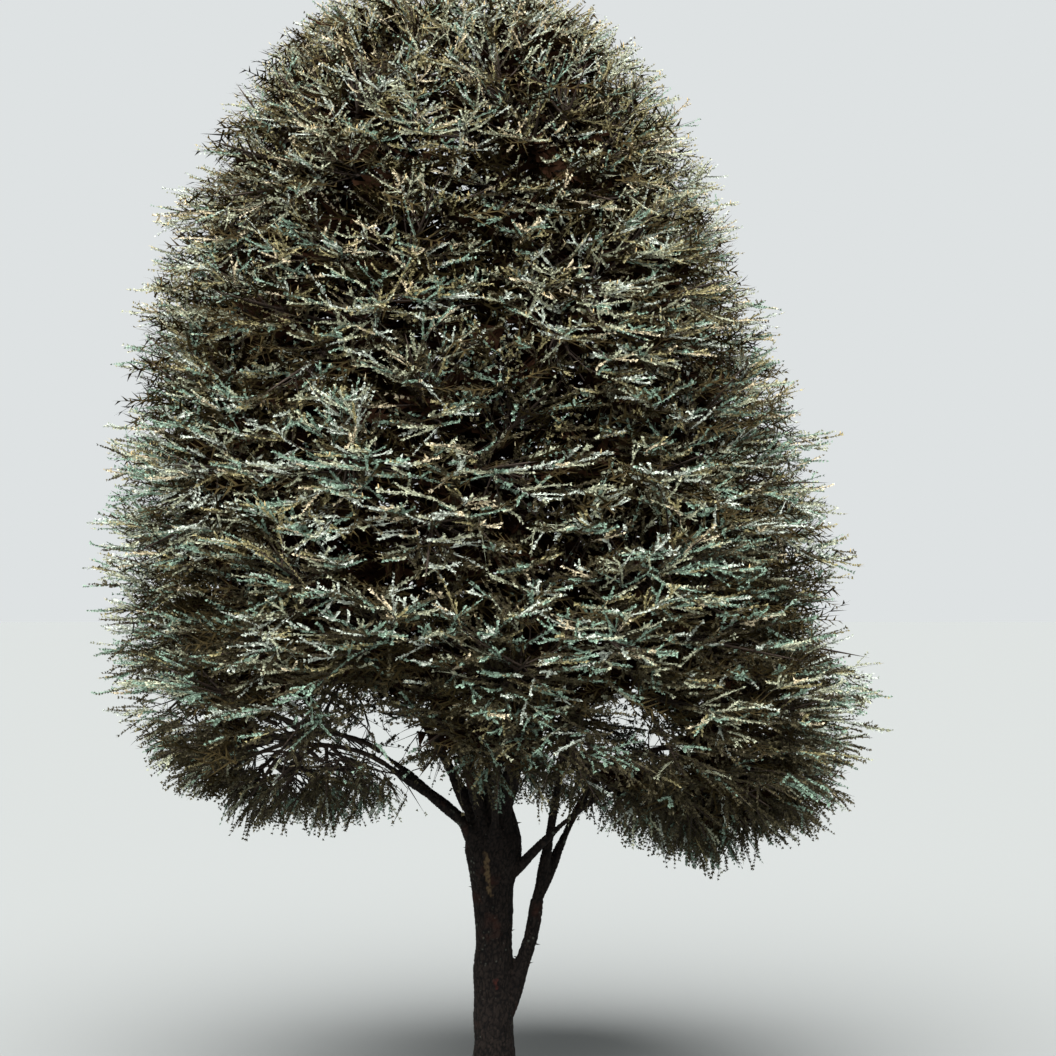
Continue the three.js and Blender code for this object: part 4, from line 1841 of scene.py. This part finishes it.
    def build_needles(self, rng: np.random.Generator, green: Shoots, fine: Shoots) -> None:
        """Set rosettes of needles along every shoot, and blades along the fine ones.

        Args:
            rng: the source of chance.
            green: every leafy shoot.
            fine: the side branches and short shoots among them, clothed from end to end.
        """
        count = np.maximum((green.length / self.rosette_step).astype(int), 1) + 1
        owner = np.repeat(np.arange(len(count)), count)
        order = np.arange(len(owner)) - np.repeat(np.cumsum(count) - count, count)
        share = (order + rng.uniform(*self.rosette_stray, len(owner))) / count[owner]
        shoots = green.take(owner)
        centre, course = shoots.place(share), shoots.course(share)
        # Rosettes deep in the crown are fewer and larger
        depth = self.depth_share(centre)
        kept = rng.uniform(size=len(centre)) < graded(depth, self.ROSETTE_PARTS)
        kept &= self.has_room(centre)
        size = graded(depth, self.ROSETTE_GROWTH)[kept] * graded(centre[kept, 2], self.NEEDLE_SIZES)
        rosettes = self.rosettes(rng, centre[kept], course[kept], size)
        middle = fine.at(self.blade_bend)
        shown = self.has_room(middle) & (self.depth_share(middle) > self.blade_depth)
        fine = fine.take(np.nonzero(shown)[0])
        blades = self.blades(rng, fine)
        tone = np.repeat(shoots.tone[kept], self.rosette_fans)
        tone = np.concatenate((tone, np.repeat(fine.tone, len(blades) // len(fine.root))))
        self.build_tones(np.concatenate((rosettes, blades)), tone)

    def build_tones(self, corners: np.ndarray, tone: np.ndarray) -> None:
        """Gather triangles by tone into pieces.

        Args:
            corners: the three corners of each triangle.
            tone: the number of each triangle's tone.
        """
        nodes = [mass.name for mass in self.plan.masses]
        for number, kind in enumerate(self.TONES):
            faces = corners[tone == number]
            parts = np.array_split(faces, max(math.ceil(len(faces) / self.piece_limit), 1))
            for part, triangles in enumerate(parts):
                name = f"{kind.finish.name}_{part + 1}"
                piece = mesh_of_triangles(name, triangles, kind.finish.material())
                place_piece(piece, nodes)

    def depth_share(self, points: np.ndarray) -> np.ndarray:
        """Measure how near points lie to the crown's surface.

        Args:
            points: the places.

        Returns:
            A share for each point, where 1 is the surface itself.
        """
        outline = self.plan.outline
        level = outline.level_of(points)
        near_end = np.minimum(level - outline.base, outline.top - level)
        return np.maximum(outline.share_out(points), 1.0 - self.end_depth * near_end)

    def rosettes(
        self, rng: np.random.Generator, centre: np.ndarray, course: np.ndarray, size: np.ndarray
    ) -> np.ndarray:
        """Make pointed fans of needles round each place on a shoot.

        Args:
            rng: the source of chance.
            centre: the places.
            course: the shoot's direction at each.
            size: how much larger than usual the needles are at each.

        Returns:
            The corners of the fans' triangles for each place, one after another.
        """
        count = len(centre)
        across, upward = frame_of(course)
        spin = rng.uniform(0.0, 2.0 * math.pi, count)
        fans = []
        for number in range(self.rosette_fans):
            angle = spin + 2.0 * math.pi * number / self.rosette_fans
            angle = angle + rng.uniform(-self.fan_stray, self.fan_stray, count)
            tilt = np.radians(self.needle_angle + rng.normal(0.0, self.needle_stray_angle, count))
            radial = across * np.cos(angle)[:, None] + upward * np.sin(angle)[:, None]
            out = course * np.cos(tilt)[:, None] + radial * np.sin(tilt)[:, None]
            brim = np.cross(course, radial)
            twist = rng.uniform(-self.needle_twist, self.needle_twist, count)[:, None]
            brim = unit(brim * np.cos(twist) + np.cross(out, brim) * np.sin(twist))
            length = (rng.uniform(*self.needle_length, count) * size)[:, None]
            half = brim * (rng.uniform(*self.needle_width, count) * size)[:, None] / 2
            foot = centre + out * self.fan_foot
            fans.append(np.stack((foot - half, foot + half, foot + out * length), axis=1))
        return np.stack(fans, axis=1).reshape(-1, 3, 3)

    def blades(self, rng: np.random.Generator, shoots: Shoots) -> np.ndarray:
        """Lay a narrow blade of close needles along each shoot, so that it reads as one line.

        Args:
            rng: the source of chance.
            shoots: the shoots to clothe.

        Returns:
            The corners of three triangles for each shoot, one after another.
        """
        root, middle, tip = (shoots.at(share) for share in (0.0, self.blade_bend, 1.0))
        course = unit(tip - root)
        across = unit(np.cross(course, UP))
        roll = rng.uniform(-self.blade_roll, self.blade_roll, len(shoots.root))[:, None]
        wide = np.cross(across, course) * np.cos(roll) + across * np.sin(roll)
        wide = wide * self.blade_width / 2
        strips = (
            np.stack((root - wide, root + wide, middle + wide), axis=1),
            np.stack((root - wide, middle + wide, middle - wide), axis=1),
            np.stack((middle - wide, middle + wide, tip), axis=1),
        )
        return np.stack(strips, axis=1).reshape(-1, 3, 3)

    def build_cones(self, rng: np.random.Generator, shoots: Shoots) -> None:
        """Stand small tan pollen cones on the shoots of the upper half.

        Args:
            rng: the source of chance.
            shoots: the side branches and short shoots.
        """
        share = graded(shoots.root[:, 2], self.CONE_PARTS)
        bearing = shoots.take(np.nonzero(rng.uniform(size=len(share)) < share)[0])
        count = len(bearing.root)
        root = bearing.place(rng.uniform(*self.cone_places, count))
        course = unit(UP + rng.normal(0.0, self.cone_tilt, (count, 3)))
        cones = Shoots.bare(root, course * rng.uniform(*self.cone_length, count)[:, None])
        thick = rng.uniform(*self.cone_radius, count)
        parts = (tapers(cones, (thick, thick * self.cone_taper), rings=2, sides=4),)
        build_tubes("pollen_cones", parts, self.cone_finish)


@dataclass
class InnerSprays:
    """Sprays behind the crown's surface, which close it where little light falls, in near-black tones of
    painted shade.
    """

    plates: Plates
    name: str
    count: int
    reach: tuple[float, float]
    length: tuple[float, float]
    tooth_base: float
    tooth_reach: float
    finish: NeedleFinish
    seed: int = 47
    gap_margin: float = 0.3
    floor: float = 0.3
    top_room: float = 0.5
    thinning: float = 1.4
    stray_azimuth: float = 50.0
    usual_rise: float = 4.0
    stray_rise: float = 16.0
    most_roll: float = 1.0
    teeth: int = 7
    tooth_places: tuple[float, float] = (0.08, 0.8)
    tooth_stray: float = 0.05
    tooth_sizes: tuple[float, float] = (0.5, 1.2)
    tooth_sweep: float = 0.3
    tooth_taper: float = 1.15
    rib_half_width: float = 0.012

    # The gap below the boughs left of the trunk, where the sky shows, and its radius
    OPENING = ((-0.85, 0.0, 2.85), 0.75)
    OPENING_STRETCH = (1.0, 0.3, 1.0)

    def build(self) -> None:
        """Spread the sprays through a shell of the crown."""
        rng = np.random.default_rng(self.seed)
        root, turn = self.roots(rng)
        count = len(root)
        azimuth = turn + rng.normal(0.0, self.stray_azimuth, count)
        course = heading(azimuth, rng.normal(self.usual_rise, self.stray_rise, count))
        side = unit(np.cross(course, UP))
        roll = rng.uniform(-self.most_roll, self.most_roll, count)[:, None]
        side = side * np.cos(roll) + np.cross(side, course) * np.sin(roll)
        length = rng.uniform(*self.length, count)[:, None]
        half = course * length * self.tooth_base
        first, last = self.tooth_places
        fans = []
        for number in range(self.teeth):
            share = first + (last - first) * number / (self.teeth - 1)
            share = share + rng.uniform(-self.tooth_stray, self.tooth_stray, count)[:, None]
            hand = (-1.0 if number % 2 else 1.0) * rng.uniform(*self.tooth_sizes, count)[:, None]
            foot = root + course * length * (share - 0.5)
            sweep = course * self.tooth_sweep + side * hand * self.tooth_reach
            tip = foot + sweep * length * (self.tooth_taper - share)
            fans.append(np.stack((foot - half, foot + half, tip), axis=1))
        rib = side * self.rib_half_width
        start, end = root - course * length * 0.5, root + course * length * 0.5
        fans.append(np.stack((start - rib, start + rib, end), axis=1))
        piece = mesh_of_triangles(self.name, np.stack(fans, axis=1), self.finish.material())
        place_piece(piece)

    def roots(self, rng: np.random.Generator) -> tuple[np.ndarray, np.ndarray]:
        """Scatter the middles of the sprays, clear of the places where the sky shows.

        Args:
            rng: the source of chance.

        Returns:
            The middles and their azimuths in degrees.
        """
        outline = self.plates.plan.outline
        level = rng.uniform(outline.base + self.floor, outline.top - self.top_room, self.count * 3)
        spread = outline.radius_at(level) / outline.radius
        level = level[rng.uniform(size=len(level)) < spread**self.thinning][: self.count]
        turn = rng.uniform(0.0, 360.0, len(level))
        inner, outer = self.reach
        out = outline.radius_at(level) * np.sqrt(rng.uniform(inner**2, outer**2, len(level)))
        root = outline.centre(level) + heading(turn) * out[:, None]
        root = root + UP * outline.lift(root)[:, None]
        middle, radius = self.OPENING
        kept = np.linalg.norm((root - np.array(middle)) * self.OPENING_STRETCH, axis=1) > radius
        kept &= ~self.plates.in_gap(root, self.gap_margin)
        return root[kept], turn[kept]


# Studio


@dataclass(frozen=True)
class FloorFinish:
    """Matt pale studio floor: even and dull, with no pattern of its own."""

    name: str = "matt_studio_floor"
    tone: str = "#737574"

    def material(self) -> bpy.types.Material:
        """Build the finish from its nodes.

        Returns:
            The material.
        """
        made = empty_material(self.name)
        surface = {"Base Color": colour(self.tone), "Roughness": 1.0, "Specular IOR Level": 0.0}
        shader = add_node(made, "ShaderNodeBsdfPrincipled", surface)
        add_node(made, "ShaderNodeOutputMaterial", {"Surface": shader.outputs["BSDF"]})
        return made


@dataclass(frozen=True)
class Studio:
    """The pale floor, the soft light and the camera at the photograph's viewing angle."""

    floor_radius: float = 600.0
    floor_corners: int = 96
    sky: str = "#dee2e3"
    sky_strength: float = 1.0
    sun_height: float = 30.0
    sun_strength: float = 12.5
    sun_angle: float = 75.0
    sun_turn: tuple[float, float, float] = (26.0, 0.0, -14.0)
    camera_pitch: float = 2.0
    camera_range: float = 4000.0
    focal_pixels: float = 2200.0
    frame_pixels: float = 1056.0
    sensor: float = 36.0

    def build(self) -> None:
        """Set up floor, light and camera."""
        bpy.ops.object.select_all(action="DESELECT")
        bpy.ops.mesh.primitive_circle_add(
            vertices=self.floor_corners, radius=self.floor_radius, fill_type="NGON"
        )
        floor = bpy.context.active_object
        floor.name = "studio_floor"
        floor.data.materials.append(FloorFinish().material())
        floor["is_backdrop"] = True
        world = bpy.data.worlds.new("pale_sky")
        bpy.context.scene.world = world
        world.use_nodes = True
        background = world.node_tree.nodes["Background"]
        background.inputs["Color"].default_value = colour(self.sky)
        background.inputs["Strength"].default_value = self.sky_strength
        bpy.ops.object.light_add(type="SUN", location=(0.0, 0.0, self.sun_height))
        sun = bpy.context.active_object
        sun.data.energy = self.sun_strength
        sun.data.angle = math.radians(self.sun_angle)
        sun.rotation_euler = [math.radians(turn) for turn in self.sun_turn]
        bpy.ops.object.camera_add(location=VIEWER)
        camera = bpy.context.active_object
        camera.rotation_euler = (math.radians(90.0 + self.camera_pitch), 0.0, 0.0)
        camera.data.lens = self.sensor * self.focal_pixels / self.frame_pixels
        camera.data.sensor_width = self.sensor
        camera.data.clip_end = self.camera_range
        bpy.context.scene.camera = camera
        bpy.context.scene.view_settings.view_transform = "Standard"


def main() -> None:
    """Build the tree's wood, foliage and studio in order."""
    logging.basicConfig(level=logging.INFO, format="%(message)s")
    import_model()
    cad_box = [list(corner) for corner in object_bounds()]
    low, high = np.array(cad_box[0]), np.array(cad_box[1])
    proud = (high - low) * PROUD_SHARE - NEEDLE_ROOM
    plan = TreePlan()
    Bark(plan).build()
    plates = Plates(plan)
    LOG.info("plates: %d", len(plates.tip))
    Foliage(plan, plates, room=(low - proud, high + proud)).build()
    # The inner and dim sprays are near-black and dark olive-brown as painted shade deep in the crown
    InnerSprays(
        plates,
        name="inner_sprays",
        count=8000,
        reach=(0.36, 0.76),
        length=(0.42, 0.68),
        tooth_base=0.12,
        tooth_reach=0.36,
        finish=NeedleFinish("shaded_inner_needles", "#1c110a", "#271911", 0.08, 0.9, 0.0),
    ).build()
    InnerSprays(
        plates,
        name="dim_sprays",
        count=5500,
        reach=(0.74, 0.91),
        length=(0.36, 0.56),
        tooth_base=0.032,
        tooth_reach=0.42,
        finish=NeedleFinish("dim_inner_needles", "#2a2316", "#38301d", 0.08, 0.8, 0.0),
        seed=48,
        gap_margin=0.16,
    ).build()
    Studio().build()


if __name__ == "__main__":
    main()
